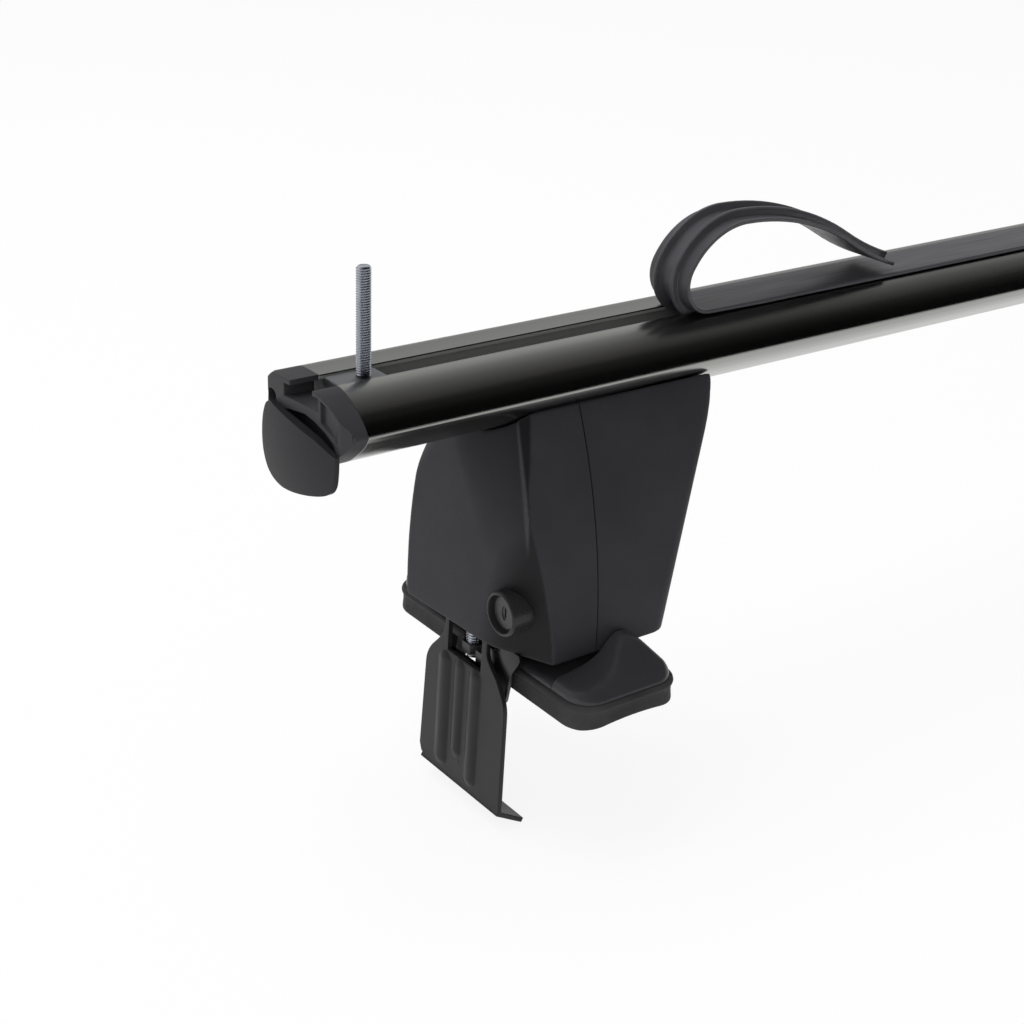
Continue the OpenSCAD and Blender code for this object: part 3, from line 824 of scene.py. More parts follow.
@dataclass
class Stud:
    """The stud in the slot with its T-plate."""

    x: float = -524.2
    radius: float = 3.0
    pitch: float = 1.0
    up: float = 42.5
    tip: float = 0.7
    tip_share: float = 0.8
    plate: tuple[Point, Point] = ((-12.6, -9.8, -5.6), (8.0, 9.8, -2.3))
    neck: tuple[Point, Point] = ((-14.0, -6.3, -2.4), (8.0, 6.3, -0.9))

    def block(self, name: str, corners: tuple[Point, Point], radius: float) -> bpy.types.Object:
        """Builds a rounded block of the stud.

        Args:
            name: name of the piece.
            corners: lowest and highest corner, from the stud's axis and the bar's top.
            radius: radius of its upright edges.

        Returns:
            The new piece.
        """
        low, high = ((self.x + x, y, BAR_TOP + z) for x, y, z in corners)
        piece = new_piece(name, *rounded_box(low, high, radius), "stud")
        shading = piece.modifiers.new("shading", "WEIGHTED_NORMAL")
        shading.keep_sharp = False
        return piece

    def build(self, finishes: Finishes) -> None:
        """Builds the thread and the plate.

        Args:
            finishes: the rack's finishes.
        """
        rod = ThreadedRod(self.radius, self.pitch, BAR_TOP - 3.0, BAR_TOP + self.up - self.tip, 1e9)
        rings = rod.rings((self.x, 0.0))
        tip = []
        for x, y, _ in rings[-1]:
            inward = self.x * MM + (x - self.x * MM) * self.tip_share
            tip.append((inward, y * self.tip_share, (BAR_TOP + self.up) * MM))
        thread = new_piece("stud_thread", *sweep(rings + [tip]), "stud")
        plate = self.block("stud_plate", self.plate, 1.2)
        neck = self.block("stud_neck", self.neck, 1.0)
        for piece, finish in ((thread, "zinc"), (plate, "plate"), (neck, "plate")):
            finishes.dress(piece, finish)
        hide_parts("t_bolt")


@dataclass
class EndCap:
    """A moulded cap with its lid, pin and screw."""

    end: End
    rounding: EdgeRounding = EdgeRounding(0.35, 2, 32.0)
    lid_rounding: EdgeRounding = EdgeRounding(0.35, 2, 55.0, True)

    def build(self, finishes: Finishes) -> None:
        """Dresses the cap's pieces.

        Args:
            finishes: the rack's finishes.
        """
        stem = f"cap_{self.end.value}"
        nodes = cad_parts
        for name, slot, rounding in (
            (stem, "cap", self.rounding),
            (f"{stem}_lid", "lid", self.lid_rounding),
            (f"{stem}_pin", "steel", EdgeRounding(0.0)),
            (f"{stem}_screw", "dark_steel", EdgeRounding(0.15)),
        ):
            finishes.dress(nodes[name], slot)
            rounding.apply(nodes[name])


@dataclass
class ClampFoot:
    """One foot: bracket, covers, lock, pad, hook and tension screw."""

    end: End
    screw: tuple[float, float] = (-25.8, 6.0)
    shelf: float = 81.0
    arm: tuple[tuple[float, float], ...] = (
        (-9.0, 16.4), (-13.8, 16.8), (-14.4, 21.6), (-31.0, 21.6), (-31.9, 19.6), (-31.0, 17.4),
        (-27.2, 11.6), (-25.3, 6.4), (-24.0, 0.4), (-23.0, -4.4), (-21.8, -5.9), (-19.8, -5.2),
        (-16.0, -1.8), (-12.6, 3.6), (-9.6, 9.4),
    )
    # Plates of painted shade behind the hook's window: Y from, Y to and top of each.
    shade_plates: tuple[tuple[float, float, float], ...] = (
        (-11.6, -1.2, 11.0), (13.2, 18.6, 11.0), (-11.6, 18.6, 5.0),
    )
    shade_plate_bottom: float = -3.0
    head: tuple[tuple[float, float], ...] = (
        (6.1, 0.0), (6.5, 0.4), (6.5, 7.4), (5.9, 8.0), (3.6, 8.0), (3.3, 7.6), (3.3, 3.3), (0.4, 3.0),
    )
    finish_of: dict[str, tuple[str, float]] = field(default_factory=lambda: {
        "bracket": ("bracket", 0.5),
        "lock_plug": ("lock", 0.2),
        "lock_cam": ("steel", 0.25),
        "cam_screw": ("steel", 0.15),
        "pivot_pin": ("steel", 0.3),
        "pin_clips": ("dark_steel", 0.15),
        "hook": ("hook", 0.4),
        "hook_nut": ("dark_steel", 0.3),
        "stop_nut": ("dark_steel", 0.3),
        "washer": ("zinc", 0.2),
        "clamp_bolts": ("zinc", 0.3),
        "clamp_nuts": ("zinc", 0.3),
        "clamp_washers": ("zinc", 0.2),
    })

    def build(self, finishes: Finishes) -> None:
        """Dresses the foot's nodes and builds its tension screw.

        Args:
            finishes: the rack's finishes.
        """
        for part, (slot, width) in self.finish_of.items():
            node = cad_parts[f"{self.end.value}_{part}"]
            finishes.dress(node, slot)
            EdgeRounding(width, 2, 32.0).apply(node)
        CoverHalf(self.end, True).build(finishes)
        CoverHalf(self.end, False).build(finishes)
        RockingPad(self.end).build(finishes)
        self.tension_screw(finishes)
        self.arm_and_shade_plates(finishes)

    def arm_and_shade_plates(self, finishes: Finishes) -> None:
        """Builds the bracket's pointed arm beside the hook's neck, and black plates behind the hook's window
        as painted shade for the dark inside of the cover.

        Args:
            finishes: the rack's finishes.
        """
        middle = [sum(p[i] for p in self.arm) / len(self.arm) for i in range(2)]
        rings = []
        for x, grow in ((-30.3, 0.94), (-30.0, 1.0), (-28.7, 1.0), (-28.3, 0.94)):
            ring = []
            for place in self.arm:
                y, z = (m + (c - m) * grow for c, m in zip(place, middle))
                ring.append(foot_point(self.end, x, y, z))
            rings.append(ring)
        parts = [sweep(rings)]
        # Painted shade: thin black plates that fill the hook's window with darkness.
        for low, high, top in self.shade_plates:
            bottom = self.shade_plate_bottom
            rings = []
            for x in (-30.7, -30.25):
                corners = ((low, bottom), (high, bottom), (high, top), (low, top))
                rings.append([foot_point(self.end, x, y, z) for y, z in corners])
            parts.append(sweep(rings))
        points, faces = joined(parts)
        arm = new_piece(f"{self.end.value}_arm_and_shade_plates", points, faces, f"foot_{self.end.value}", 35.0)
        finishes.dress(arm, "guide")

    def tension_screw(self, finishes: Finishes) -> None:
        """Builds the threaded tension screw with its socket head.

        Args:
            finishes: the rack's finishes.
        """
        sign = self.end.sign
        x = sign * (self.screw[0] - FOOT_SEAM)
        y = sign * self.screw[1]
        rod = ThreadedRod(4.0, 1.25, 4.0, self.shelf + 1.6, self.shelf - 8.0)
        points, faces = sweep(rod.rings((x, y)))
        thread = new_piece(f"{self.end.value}_screw_thread", points, faces, f"screw_{self.end.value}")
        base = self.shelf + 1.7
        sides = 36
        rings = []
        for reach, height in self.head:
            ring = []
            for k in range(sides):
                angle = 2 * math.pi * k / sides
                hexed = 1.0
                if reach < 5.0:
                    hexed = math.cos(math.pi / 6) / math.cos((angle % (math.pi / 3)) - math.pi / 6)
                ring.append((
                    (x + reach * hexed * math.cos(angle)) * MM,
                    (y + reach * hexed * math.sin(angle)) * MM,
                    (base + height) * MM,
                ))
            rings.append(ring)
        points, faces = sweep(rings)
        head = new_piece(f"{self.end.value}_screw_head", points, faces, f"screw_{self.end.value}")
        for piece in (thread, head):
            finishes.dress(piece, "zinc")
        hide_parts(f"{self.end.value}_tension_screw")


@dataclass(frozen=True)
class Facet:
    """A flat of the covers, how softly it runs into the outboard face and the side, and how much painted
    shade darkens the skin that faces like it.
    """

    normal: Point
    point: Point
    by_face: float
    by_side: float
    # Below 1 this is painted shade: the share of the base colour left where the skin faces like this flat.
    tone: float = 1.0

    def limit(self, direction: tuple[float, float], start: float, z: float) -> float:
        """How far a level ray from the middle gets before the flat.

        Args:
            direction: the ray's direction in X and Y.
            start: X of the ray's start.
            z: its height.

        Returns:
            The distance, very large where the ray runs away from the flat.
        """
        along = self.normal[0] * direction[0] + self.normal[1] * direction[1]
        if along < 1e-4:
            return 1e6
        gap = (
            self.normal[0] * (self.point[0] - start)
            + self.normal[1] * self.point[1]
            + self.normal[2] * (self.point[2] - z)
        )
        return gap / along


@dataclass
class CoverHalf:
    """Outboard or inboard half of a foot's cover: a moulded shell with soft facets, two of them with painted
    shade.
    """

    end: End
    outer: bool
    low: float = 21.0
    wall: float = 1.8
    rows: int = 60
    step_deg: float = 0.75
    side_radius: float = 251.0
    side_half: float = 45.0
    seam_gap: float = 0.22
    corner_blend: float = 2.6
    outer_face: Facet = Facet((-0.99956, -0.02967, 0.0), (-36.8, 45.0, 0.0), 1.0, 1.0)
    inner_face: Facet = Facet((0.98108, 0.0, -0.19355), (47.0, 0.0, 0.0), 1.0, 1.0)
    lock_place: Point = (-38.3, -27.7, 42.1)
    drum_profile: tuple[tuple[float, float], ...] = (
        (9.8, 15.2), (9.8, 9.0), (9.8, 1.3), (9.68, 0.7), (9.35, 0.22), (8.9, 0.0), (8.55, 0.03),
        (8.32, 0.22), (8.22, 0.6), (8.2, 2.95), (7.1, 3.0), (7.08, 15.2),
    )
    under_bar: tuple[tuple[float, float], ...] = (
        (0.0, 114.9), (6.0, 114.9), (10.8, 116.9), (15.8, 119.5), (19.7, 122.2), (24.6, 126.2),
        (28.1, 129.9), (30.1, 133.0), (31.0, 135.9),
    )
    facets: tuple[Facet, ...] = (
        # The first and the third flat have a tone below 1: painted shade on these two flats.
        Facet((-0.835, -0.419, 0.357), (-31.87, -27.24, 105.66), 20.0, 1.6, 0.3),
        Facet((-0.727, 0.556, 0.401), (-35.3, 37.6, 89.0), 3.0, 2.5),
        Facet((-0.908, -0.406, -0.101), (-30.99, -34.04, 56.75), 3.6, 1.2, 0.28),
        Facet((0.683, -0.72, -0.123), (35.6, -45.0, 21.0), 3.0, 3.0),
        Facet((0.683, 0.72, -0.123), (35.6, 45.0, 21.0), 3.0, 3.0),
    )

    @property
    def start(self) -> float:
        """X where the half's level rays start, just beside the seam."""
        return -self.seam_gap if self.outer else self.seam_gap

    def reach(self, angle: float, z: float) -> float:
        """Distance of the skin from the middle of the foot.

        Args:
            angle: direction in plan.
            z: height.

        Returns:
            The distance in millimetres.
        """
        direction = (math.cos(angle), math.sin(angle))
        end_face = self.outer_face if self.outer else self.inner_face
        face = end_face.limit(direction, self.start, z)
        fall = self.side_radius - math.sqrt(self.side_radius ** 2 - (z - self.low - 7) ** 2)
        bulge = self.side_half - fall
        side = bulge / max(abs(direction[1]), 1e-4)
        result = soft_min(face, side, self.corner_blend)
        by_face = min(max((side - face) / 5 + 0.5, 0.0), 1.0)
        for facet in self.facets:
            width = facet.by_side + (facet.by_face - facet.by_side) * by_face
            result = soft_min(result, facet.limit(direction, self.start, z), width)
        return result

    def tone(self, normal: Vector) -> float:
        """Painted shade on the skin, which is darker the more it faces like a flat whose tone is below 1.

        Args:
            normal: the skin's direction, in the foot's own axes.

        Returns:
            Factor for the base colour, which paints the shade.
        """
        result = 1.0
        for facet in self.facets:
            flat = Vector(facet.normal).normalized()
            level = Vector(self.outer_face.normal).dot(flat)
            share = min(max((normal.dot(flat) - level) / (1.0 - level), 0.0), 1.0)
            result = min(result, 1.0 - (1.0 - facet.tone) * share)
        return result

    def column(self, angle: float) -> list[Point]:
        """Closed section of the shell at one direction.

        Args:
            angle: direction in plan.

        Returns:
            Points up the skin and down the inside.
        """
        top = 120.0
        for _ in range(12):
            top = 0.5 * top + 0.5 * curve(self.under_bar, abs(self.reach(angle, top) * math.sin(angle)))
        levels = [(self.low, 0.9), (self.low + 0.12, 0.45), (self.low + 0.45, 0.12), (self.low + 1.0, 0.0)]
        span = top - self.low - 1.7
        levels += [(self.low + 1.0 + span * k / self.rows, 0.0) for k in range(1, self.rows + 1)]
        levels += [(top - 0.3, 0.1), (top - 0.05, 0.45), (top, self.wall - 0.2)]
        levels += [(top - 1.0 - (span - 1.0) * k / 10, self.wall) for k in range(11)]
        levels.append((self.low, self.wall - 0.1))
        made = []
        for z, inset in levels:
            reach = self.reach(angle, z) - inset
            x, y = self.start + reach * math.cos(angle), reach * math.sin(angle)
            made.append(foot_point(self.end, x, y, z))
        return made

    def build(self, finishes: Finishes) -> None:
        """Builds the half.

        Args:
            finishes: the rack's finishes.
        """
        first, last = (90.0, 270.0) if self.outer else (-90.0, 90.0)
        count = int((last - first) / self.step_deg)
        columns = [self.column(math.radians(first + (last - first) * k / count)) for k in range(count + 1)]
        points, faces = sweep(columns)
        side = "outer" if self.outer else "inner"
        node = f"{self.end.value}_{side}_cover"
        body = f"cover_{self.end.value}" if self.outer else f"foot_{self.end.value}"
        piece = new_piece(f"{node}_shell", points, faces, body, 40.0)
        turn = self.end.sign
        # Painted shade: each vertex gets a darker tone the more it faces like a shaded flat.
        values = []
        for vertex in piece.data.vertices:
            normal = vertex.normal
            values.append(self.tone(Vector((turn * normal.x, turn * normal.y, normal.z))))
        piece.data.attributes.new("tone", "FLOAT", "POINT").data.foreach_set("value", values)
        finishes.dress(piece, "cover")
        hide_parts(node)
        if self.outer:
            self.drum(finishes, body)

    def drum(self, finishes: Finishes, body: str) -> None:
        """Builds the lock's round housing.

        Args:
            finishes: the rack's finishes.
            body: body of the outer cover.
        """
        x, y, z = self.lock_place
        steps = 64
        grid = []
        for k in range(steps):
            angle = 2 * math.pi * k / steps
            grid.append([
                foot_point(self.end, x + deep, y + reach * math.cos(angle), z + reach * math.sin(angle))
                for reach, deep in self.drum_profile
            ])
        points, faces = lattice(grid, True)
        piece = new_piece(f"{self.end.value}_lock_drum", points, faces, body, 50.0)
        finishes.dress(piece, "drum")


@dataclass
class RockingPad:
    """The moulded saddle with its humps, on a rubber sole."""

    end: End
    centre: tuple[float, float] = (2.3, 2.5)
    half: tuple[float, float] = (28.0, 71.5)
    corner: float = 13.0
    sole_top: float = 11.0
    notch: tuple[float, float, float] = (-17.2, -2.5, 14.5)
    hump_start: float = 46.2
    lowest: float = 14.0
    columns: int = 57
    front_x: tuple[tuple[float, float], ...] = (
        (-27, 12.0), (-22, 15.4), (-14, 16.8), (-6, 18.4), (0, 21.2), (4, 25.2), (7.5, 28.0), (10, 29.2),
        (13, 28.8), (17, 26.6), (22, 21.0), (26, 16.0), (30, 11.0),
    )
    front_y: tuple[tuple[float, float], ...] = (
        (44, 31.4), (49, 31.0), (52, 28.6), (57, 23.0), (62, 18.0), (65, 15.4), (69, 13.0),
    )
    middle_x: tuple[tuple[float, float], ...] = ((-24, 13.6), (-14, 14.4), (-4, 15.4), (30, 15.4))
    rear_x: tuple[tuple[float, float], ...] = (
        (-26, 13.0), (-24.6, 20.0), (-20, 27.0), (-12, 30.4), (0, 30.8), (12, 27.6), (21, 21.0), (29, 12.5),
    )
    rear_y: tuple[tuple[float, float], ...] = (
        (46, 31.2), (49, 31.2), (54, 30.6), (60, 28.0), (66, 21.5), (70, 16.0), (74, 12.4),
    )

    def span(self, y: float, inset: float, notched: bool) -> tuple[float, float]:
        """The pad's two sides at one place along it.

        Args:
            y: the place, in the foot's millimetres.
            inset: how far inside the sole's outline.
            notched: whether the screw's notch is cut there.

        Returns:
            X of the outboard and of the inboard side.
        """
        radius = self.corner - inset
        over = abs(y - self.centre[1]) - (self.half[1] - self.corner)
        width = self.half[0] - inset
        if over > 0:
            width += math.sqrt(max(radius ** 2 - over ** 2, 0.0)) - radius
        low = self.centre[0] - width
        if notched:
            low = max(low, self.notch[0] + inset)
        return low, self.centre[0] + width

    def rows(self, inset: float) -> list[tuple[float, float, float, bool]]:
        """Places along the pad with its sides, denser in the corners.

        Args:
            inset: how far inside the sole's outline.

        Returns:
            Y, both sides, and whether the row is under a hump.
        """
        middle, half = self.centre[1], self.half[1] - inset
        marks = []
        for k in range(15):
            marks.append(middle - half + (self.corner - inset) * (1 - math.cos(math.pi / 2 * k / 14)))
        marks += [middle - half + self.corner - inset + 1.1 * k for k in range(1, 11)]
        plain = sorted(set(round(y, 4) for y in marks) | set(round(2 * middle - y, 4) for y in marks))
        made = [(y, *self.span(y, inset, False), True) for y in plain if abs(y) > self.hump_start]
        for y in (-self.hump_start, self.hump_start):
            made.append((y, *self.span(y, inset, False), True))
            y -= math.copysign(0.1, y)
            made.append((y, *self.span(y, inset, False), False))
        for k in range(-9, 10):
            y = 4.5 * k
            if not self.notch[1] - 1 < y < self.notch[2] + 1:
                made.append((y, *self.span(y, inset, False), False))
        _, low, high = self.notch
        for y, notched in (
            (low - 0.02, False), (low, True), (6.0, True), (high, True), (high + 0.02, False),
        ):
            made.append((y, *self.span(y, inset, notched), False))
        return sorted(made)

    def height(self, x: float, y: float, hump: bool) -> float:
        """Height of the saddle's skin, without its rounded rim.

        Args:
            x: across the car.
            y: along the car.
            hump: whether the place is under a hump.

        Returns:
            The height in millimetres.
        """
        if not hump:
            return curve(self.middle_x, x)
        if y < 0:
            return max(soft_min(curve(self.front_x, x), curve(self.front_y, -y), 3.5), self.lowest)
        return max(soft_min(curve(self.rear_x, x), curve(self.rear_y, y), 4.0), self.lowest)

    def sheet(self, inset: float, level: Callable[[float, float, bool, float], float]) -> list[list[Point]]:
        """A grid over the pad.

        Args:
            inset: how far inside the sole's outline.
            level: height for x, y, under a hump or not, and distance from the rim.

        Returns:
            Rows of points.
        """
        grid = []
        for y, low, high, hump in self.rows(inset):
            row = []
            for k in range(self.columns):
                share = k / (self.columns - 1)
                share = share - math.sin(2 * math.pi * share) * 0.09
                x = low + (high - low) * share
                over = max(abs(y - self.centre[1]) - (self.half[1] - self.corner), 0.0)
                beside = max(abs(x - self.centre[0]) - (self.half[0] - self.corner), 0.0)
                rim = self.corner - inset - math.hypot(over, beside)
                row.append(foot_point(self.end, x, y, level(x, y, hump, max(rim, 0.0))))
            grid.append(row)
        return grid

    def closed(
        self, top: list[list[Point]], bottom: list[list[Point]], rims: Sequence[tuple[float, float]]
    ) -> Mesh:
        """Two sheets joined by a wall.

        Args:
            top: upper sheet.
            bottom: lower sheet.
            rims: share of the way down and outward shift in millimetres of each ring of the wall.

        Returns:
            The points and the faces.
        """
        def border(grid: list[list[Point]]) -> list[Point]:
            """The outer points of a sheet, in order."""
            right = [row[-1] for row in grid]
            left = [row[0] for row in reversed(grid)]
            return grid[0][:-1] + right[:-1] + list(reversed(grid[-1]))[:-1] + left[:-1]

        above, below = border(top), border(bottom)
        middle = foot_point(self.end, self.centre[0], self.centre[1], 0.0)
        rings = []
        for share, shift in rims:
            ring = []
            for a, b in zip(above, below):
                x, y, z = (a[i] + (b[i] - a[i]) * share for i in range(3))
                dx, dy = x - middle[0], y - middle[1]
                far_x, far_y = (self.half[0] - self.corner) * MM, (self.half[1] - self.corner) * MM
                out = Vector((
                    math.copysign(max(abs(dx) - far_x, 0.0), dx),
                    math.copysign(max(abs(dy) - far_y, 0.0), dy),
                ))
                if out.length > 0:
                    out = out.normalized() * shift * MM
                ring.append((x + out.x, y + out.y, z))
            rings.append(ring)
        wall = lattice([ring + [ring[0]] for ring in [above, *rings, below]])
        return joined([lattice(top), lattice(bottom), wall])

    def build(self, finishes: Finishes) -> None:
        """Builds the saddle, its ears and the sole.

        Args:
            finishes: the rack's finishes.
        """
        body = f"pad_{self.end.value}"
        base = self.sole_top

        def skin(x: float, y: float, hump: bool, rim: float) -> float:
            """Height of the saddle with its rounded rim."""
            rise = math.sqrt(max(1 - (1 - min(rim / 3.2, 1.0)) ** 2, 0.0))
            return base + 0.6 + (self.height(x, y, hump) - base - 0.6) * rise

        top = self.sheet(1.7, skin)
        low = self.sheet(1.7, lambda x, y, hump, rim: base + 0.02)
        points, faces = self.closed(top, low, ())
        saddle = new_piece(f"{self.end.value}_saddle_skin", points, faces, body, 55.0)
        finishes.dress(saddle, "saddle")
        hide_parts(f"{self.end.value}_saddle")
        self.ears(finishes, body)

        def hollow(x: float, y: float, hump: bool, rim: float) -> float:
            """Height of the sole's slightly hollow underside."""
            return max(0.0, math.sqrt(150.0 ** 2 - (x - self.centre[0]) ** 2) - 148.0)

        top = self.sheet(0.9, lambda x, y, hump, rim: base)
        low = self.sheet(0.5, hollow)
        rims = (
            (0.03, 0.55), (0.08, 0.95), (0.15, 1.1), (0.22, 0.9), (0.27, 0.45), (0.33, 0.2), (0.6, 0.1),
            (0.9, 0.3), (0.97, 0.2),
        )
        points, faces = self.closed(top, low, rims)
        sole = new_piece(f"{self.end.value}_sole_rubber", points, faces, body, 50.0)
        finishes.dress(sole, "sole")
        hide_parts(f"{self.end.value}_sole")

    def ears(self, finishes: Finishes, body: str) -> None:
        """Builds the saddle's two ears on the pivot pin.

        Args:
            finishes: the rack's finishes.
            body: body of the pad.
        """
        outline = [(-2.5, 14.6)]
        for k in range(25):
            angle = math.radians(180 - 7.5 * k)
            outline.append((6 + 8.4 * math.cos(angle), 26 + 8.4 * math.sin(angle)))
        outline.append((14.5, 14.6))
        for side in (-1, 1):
            rings = []
            for y, grow in ((11.7, 0.0), (12.0, 0.3), (17.2, 0.3), (17.5, 0.0)):
                ring = []
                for x, z in outline:
                    away = Vector((x - 6, z - 26)).normalized() * grow
                    ring.append(foot_point(self.end, x + away.x, side * y, z + away.y))
                rings.append(ring)
            points, faces = sweep(rings)
            name = "front" if side < 0 else "rear"
            ear = new_piece(f"{self.end.value}_saddle_ear_{name}", points, faces, body, 50.0)
            finishes.dress(ear, "saddle")


@dataclass
class PhotoCamera:
    """The camera at the photograph's place."""

    azimuth: float = -37.0
    elevation: float = 24.3
    roll: float = 2.2
    focal_px: float = 1775.0
    frame_px: float = 1024.0
    sensor_mm: float = 36.0
    anchor: Point = (-0.5247, 0.0, 0.148)
    anchor_px: tuple[float, float] = (362.4, 372.9)
    depth: float = 0.68008

    def build(self) -> None:
        """Makes the camera and puts it in place."""
        turn, rise, lean = (math.radians(v) for v in (self.azimuth, self.elevation, self.roll))
        back = Vector((math.sin(turn) * math.cos(rise), -math.cos(turn) * math.cos(rise), math.sin(rise)))
        level = Vector((math.cos(turn), math.sin(turn), 0.0))
        upright = back.cross(level)
        right = level * math.cos(lean) + upright * math.sin(lean)
        up = upright * math.cos(lean) - level * math.sin(lean)
        half = self.frame_px / 2
        ray = (
            -back
            + right * ((self.anchor_px[0] - half) / self.focal_px)
            - up * ((self.anchor_px[1] - half) / self.focal_px)
        )
        data = bpy.data.cameras.new("photo_camera")
        data.sensor_width = self.sensor_mm
        data.lens = self.focal_px / self.frame_px * self.sensor_mm
        data.clip_start = 0.01
        camera = bpy.data.objects.new("photo_camera", data)
        place = Matrix((right, up, back)).transposed().to_4x4()
        place.translation = Vector(self.anchor) - ray * self.depth
        camera.matrix_world = place
        bpy.context.scene.collection.objects.link(camera)
        bpy.context.scene.camera = camera


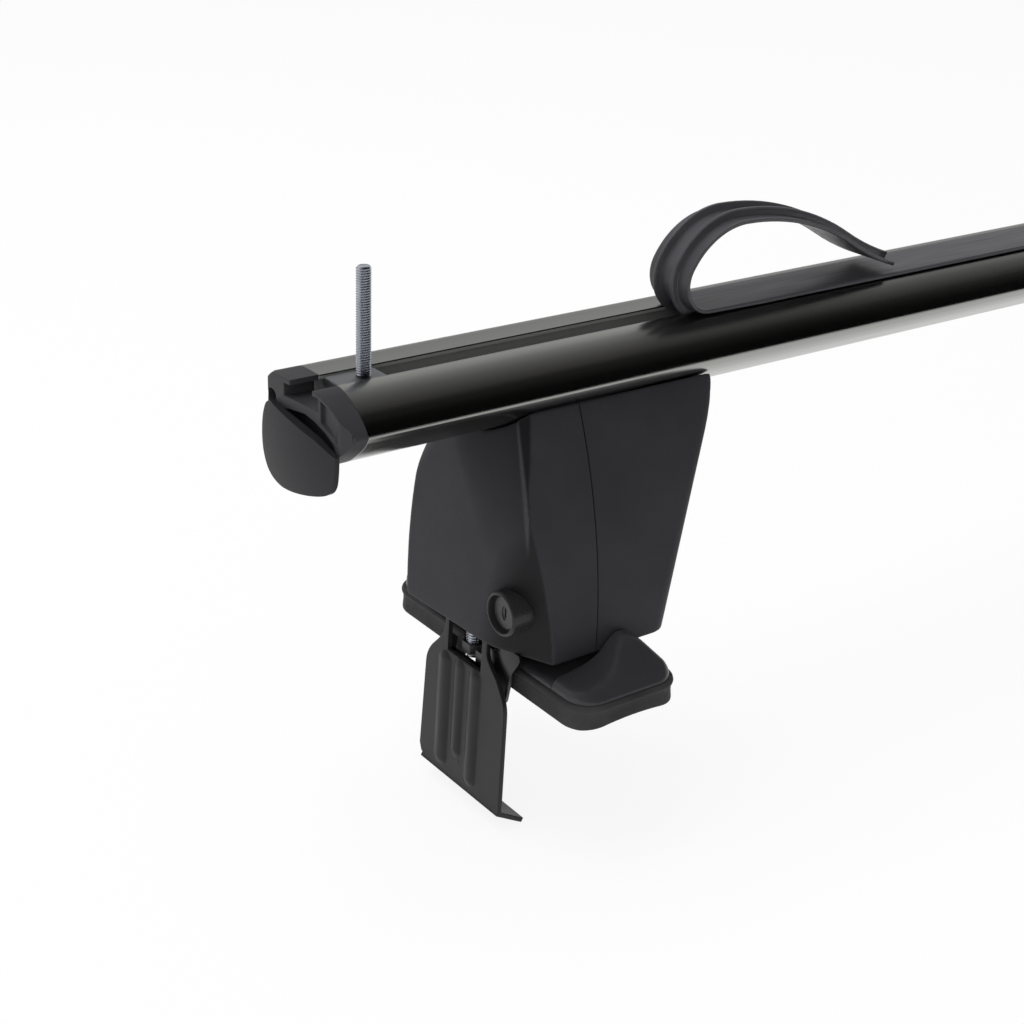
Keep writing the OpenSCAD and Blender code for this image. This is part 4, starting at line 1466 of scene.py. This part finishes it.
@dataclass
class Studio:
    """Pale floor, soft lamps and a graded tent that only reflections see."""

    floor_size: float = 30.0
    tent_radius: float = 4.0
    ambient: float = 0.5
    paper: float = 0.94
    white_share: float = 0.88
    lamp_power: float = 60.0
    tent_levels: tuple[tuple[float, float], ...] = (
        (0.0, 0.42), (0.13, 0.42), (0.19, 0.72), (0.27, 0.72), (0.34, 0.5), (0.41, 0.3), (0.48, 0.12),
        (0.56, 0.025), (0.64, 0.008), (1.0, 0.005),
    )

    def build(self) -> None:
        """Builds the studio."""
        self.world()
        self.floor()
        self.tent()
        self.lamp("key", (-1.2, 0.6, 3.0), self.lamp_power, 2.4)
        self.lamp("fill", (-2.6, -2.4, 1.6), self.lamp_power * 0.35, 2.0)
        bpy.context.scene.view_settings.view_transform = "Standard"

    def seen(self, tree: bpy.types.NodeTree) -> bpy.types.NodeSocket:
        """Whether a ray shows the background: camera, glossy and transmission rays.

        Args:
            tree: the node tree to add to.

        Returns:
            A socket that is 1 for such rays.
        """
        path = tree.nodes.new("ShaderNodeLightPath")
        first = tree.nodes.new("ShaderNodeMath")
        first.operation = "MAXIMUM"
        second = tree.nodes.new("ShaderNodeMath")
        second.operation = "MAXIMUM"
        tree.links.new(path.outputs["Is Camera Ray"], first.inputs[0])
        tree.links.new(path.outputs["Is Glossy Ray"], first.inputs[1])
        tree.links.new(first.outputs[0], second.inputs[0])
        tree.links.new(path.outputs["Is Transmission Ray"], second.inputs[1])
        return second.outputs[0]

    def world(self) -> None:
        """White to the eye and in reflections, a plain grey level for diffuse light."""
        world = bpy.data.worlds.new("studio_world")
        world.use_nodes = True
        tree = world.node_tree
        tree.nodes.clear()
        out = tree.nodes.new("ShaderNodeOutputWorld")
        mix = tree.nodes.new("ShaderNodeMixShader")
        soft = tree.nodes.new("ShaderNodeBackground")
        soft.inputs["Strength"].default_value = self.ambient
        white = tree.nodes.new("ShaderNodeBackground")
        for background in (soft, white):
            background.inputs["Color"].default_value = (1.0, 1.0, 1.0, 1.0)
        tree.links.new(self.seen(tree), mix.inputs["Fac"])
        tree.links.new(soft.outputs[0], mix.inputs[1])
        tree.links.new(white.outputs[0], mix.inputs[2])
        tree.links.new(mix.outputs[0], out.inputs["Surface"])
        bpy.context.scene.world = world

    def floor(self) -> None:
        """A wide pale floor just under the hooks, which keeps a soft shadow."""
        level = CAD_BOX[0][2] - 0.0005
        half = self.floor_size / 2
        mesh = bpy.data.meshes.new("floor")
        mesh.from_pydata(
            [(-half, -half, level), (half, -half, level), (half, half, level), (-half, half, level)],
            [], [(0, 1, 2, 3)],
        )
        floor = bpy.data.objects.new("floor", mesh)
        bpy.context.scene.collection.objects.link(floor)
        material = bpy.data.materials.new("floor_paper")
        material.use_nodes = True
        tree = material.node_tree
        tree.nodes.clear()
        out = tree.nodes.new("ShaderNodeOutputMaterial")
        paper = tree.nodes.new("ShaderNodeBsdfDiffuse")
        paper.inputs["Color"].default_value = (self.paper, self.paper, self.paper, 1.0)
        glow = tree.nodes.new("ShaderNodeEmission")
        glow.inputs["Strength"].default_value = 1.0
        share = tree.nodes.new("ShaderNodeMath")
        share.operation = "MULTIPLY"
        share.inputs[1].default_value = self.white_share
        mix = tree.nodes.new("ShaderNodeMixShader")
        tree.links.new(self.seen(tree), share.inputs[0])
        tree.links.new(share.outputs[0], mix.inputs["Fac"])
        tree.links.new(paper.outputs[0], mix.inputs[1])
        tree.links.new(glow.outputs[0], mix.inputs[2])
        tree.links.new(mix.outputs[0], out.inputs["Surface"])
        mesh.materials.append(material)

    def tent(self) -> None:
        """A half round of graded cloth along the bar that only reflections see."""
        count = 48
        half = self.floor_size / 2
        points, faces = [], []
        for k in range(count + 1):
            angle = math.pi * k / count
            y, z = self.tent_radius * math.cos(angle), self.tent_radius * math.sin(angle)
            points += [(-half, y, z - 0.06), (half, y, z - 0.06)]
            if k:
                faces.append((2 * k - 2, 2 * k - 1, 2 * k + 1, 2 * k))
        mesh = bpy.data.meshes.new("tent")
        mesh.from_pydata(points, [], faces)
        tent = bpy.data.objects.new("tent", mesh)
        bpy.context.scene.collection.objects.link(tent)
        material = bpy.data.materials.new("tent_cloth")
        material.use_nodes = True
        tree = material.node_tree
        tree.nodes.clear()
        out = tree.nodes.new("ShaderNodeOutputMaterial")
        glow = tree.nodes.new("ShaderNodeEmission")
        ramp = tree.nodes.new("ShaderNodeValToRGB")
        place = tree.nodes.new("ShaderNodeTexCoord")
        split = tree.nodes.new("ShaderNodeSeparateXYZ")
        angle = tree.nodes.new("ShaderNodeMath")
        angle.operation = "ARCTAN2"
        share = tree.nodes.new("ShaderNodeMath")
        share.operation = "DIVIDE"
        share.inputs[1].default_value = math.pi
        tree.links.new(place.outputs["Object"], split.inputs[0])
        tree.links.new(split.outputs["Z"], angle.inputs[0])
        tree.links.new(split.outputs["Y"], angle.inputs[1])
        tree.links.new(angle.outputs[0], share.inputs[0])
        tree.links.new(share.outputs[0], ramp.inputs["Fac"])
        elements = ramp.color_ramp.elements
        levels = self.tent_levels
        for element, (position, level) in zip((elements[0], elements[1]), (levels[0], levels[-1])):
            element.position = position
            element.color = (level, level, level, 1.0)
        for position, level in levels[1:-1]:
            elements.new(position).color = (level, level, level, 1.0)
        tree.links.new(ramp.outputs["Color"], glow.inputs["Color"])
        tree.links.new(glow.outputs[0], out.inputs["Surface"])
        mesh.materials.append(material)
        tent.visible_camera = False
        tent.visible_diffuse = False
        tent.visible_shadow = False
        tent.visible_transmission = False

    def lamp(self, name: str, place: Point, power: float, size: float) -> None:
        """A square soft lamp that faces the near foot.

        Args:
            name: name of the lamp.
            place: its place in metres.
            power: watts.
            size: length of its side in metres.
        """
        data = bpy.data.lights.new(name, "AREA")
        data.energy = power
        data.size = size
        lamp = bpy.data.objects.new(name, data)
        lamp.location = place
        aim = Vector((-0.45, 0.0, 0.1)) - Vector(place)
        lamp.rotation_euler = aim.to_track_quat("-Z", "Y").to_euler()
        lamp.visible_glossy = False
        bpy.context.scene.collection.objects.link(lamp)


def main() -> None:
    """Builds the camera, the studio and every piece."""
    logging.basicConfig(level=logging.INFO, format="%(name)s: %(message)s")
    steps: list[tuple[str, Callable[[], None]]] = []
    finishes = Finishes()
    steps.append(("finishes", finishes.prepare))
    steps.append(("camera", PhotoCamera().build))
    steps.append(("studio", Studio().build))
    steps.append(("load bar", lambda: LoadBar().build(finishes)))
    steps.append(("slot strip", lambda: SlotStrip().build(finishes)))
    steps.append(("stud", lambda: Stud().build(finishes)))
    for end in End:
        steps.append((f"{end.value} cap", lambda end=end: EndCap(end).build(finishes)))
        steps.append((f"{end.value} foot", lambda end=end: ClampFoot(end).build(finishes)))
    for name, step in steps:
        step()
        log.info("built the %s", name)


if __name__ == "__main__":
    main()
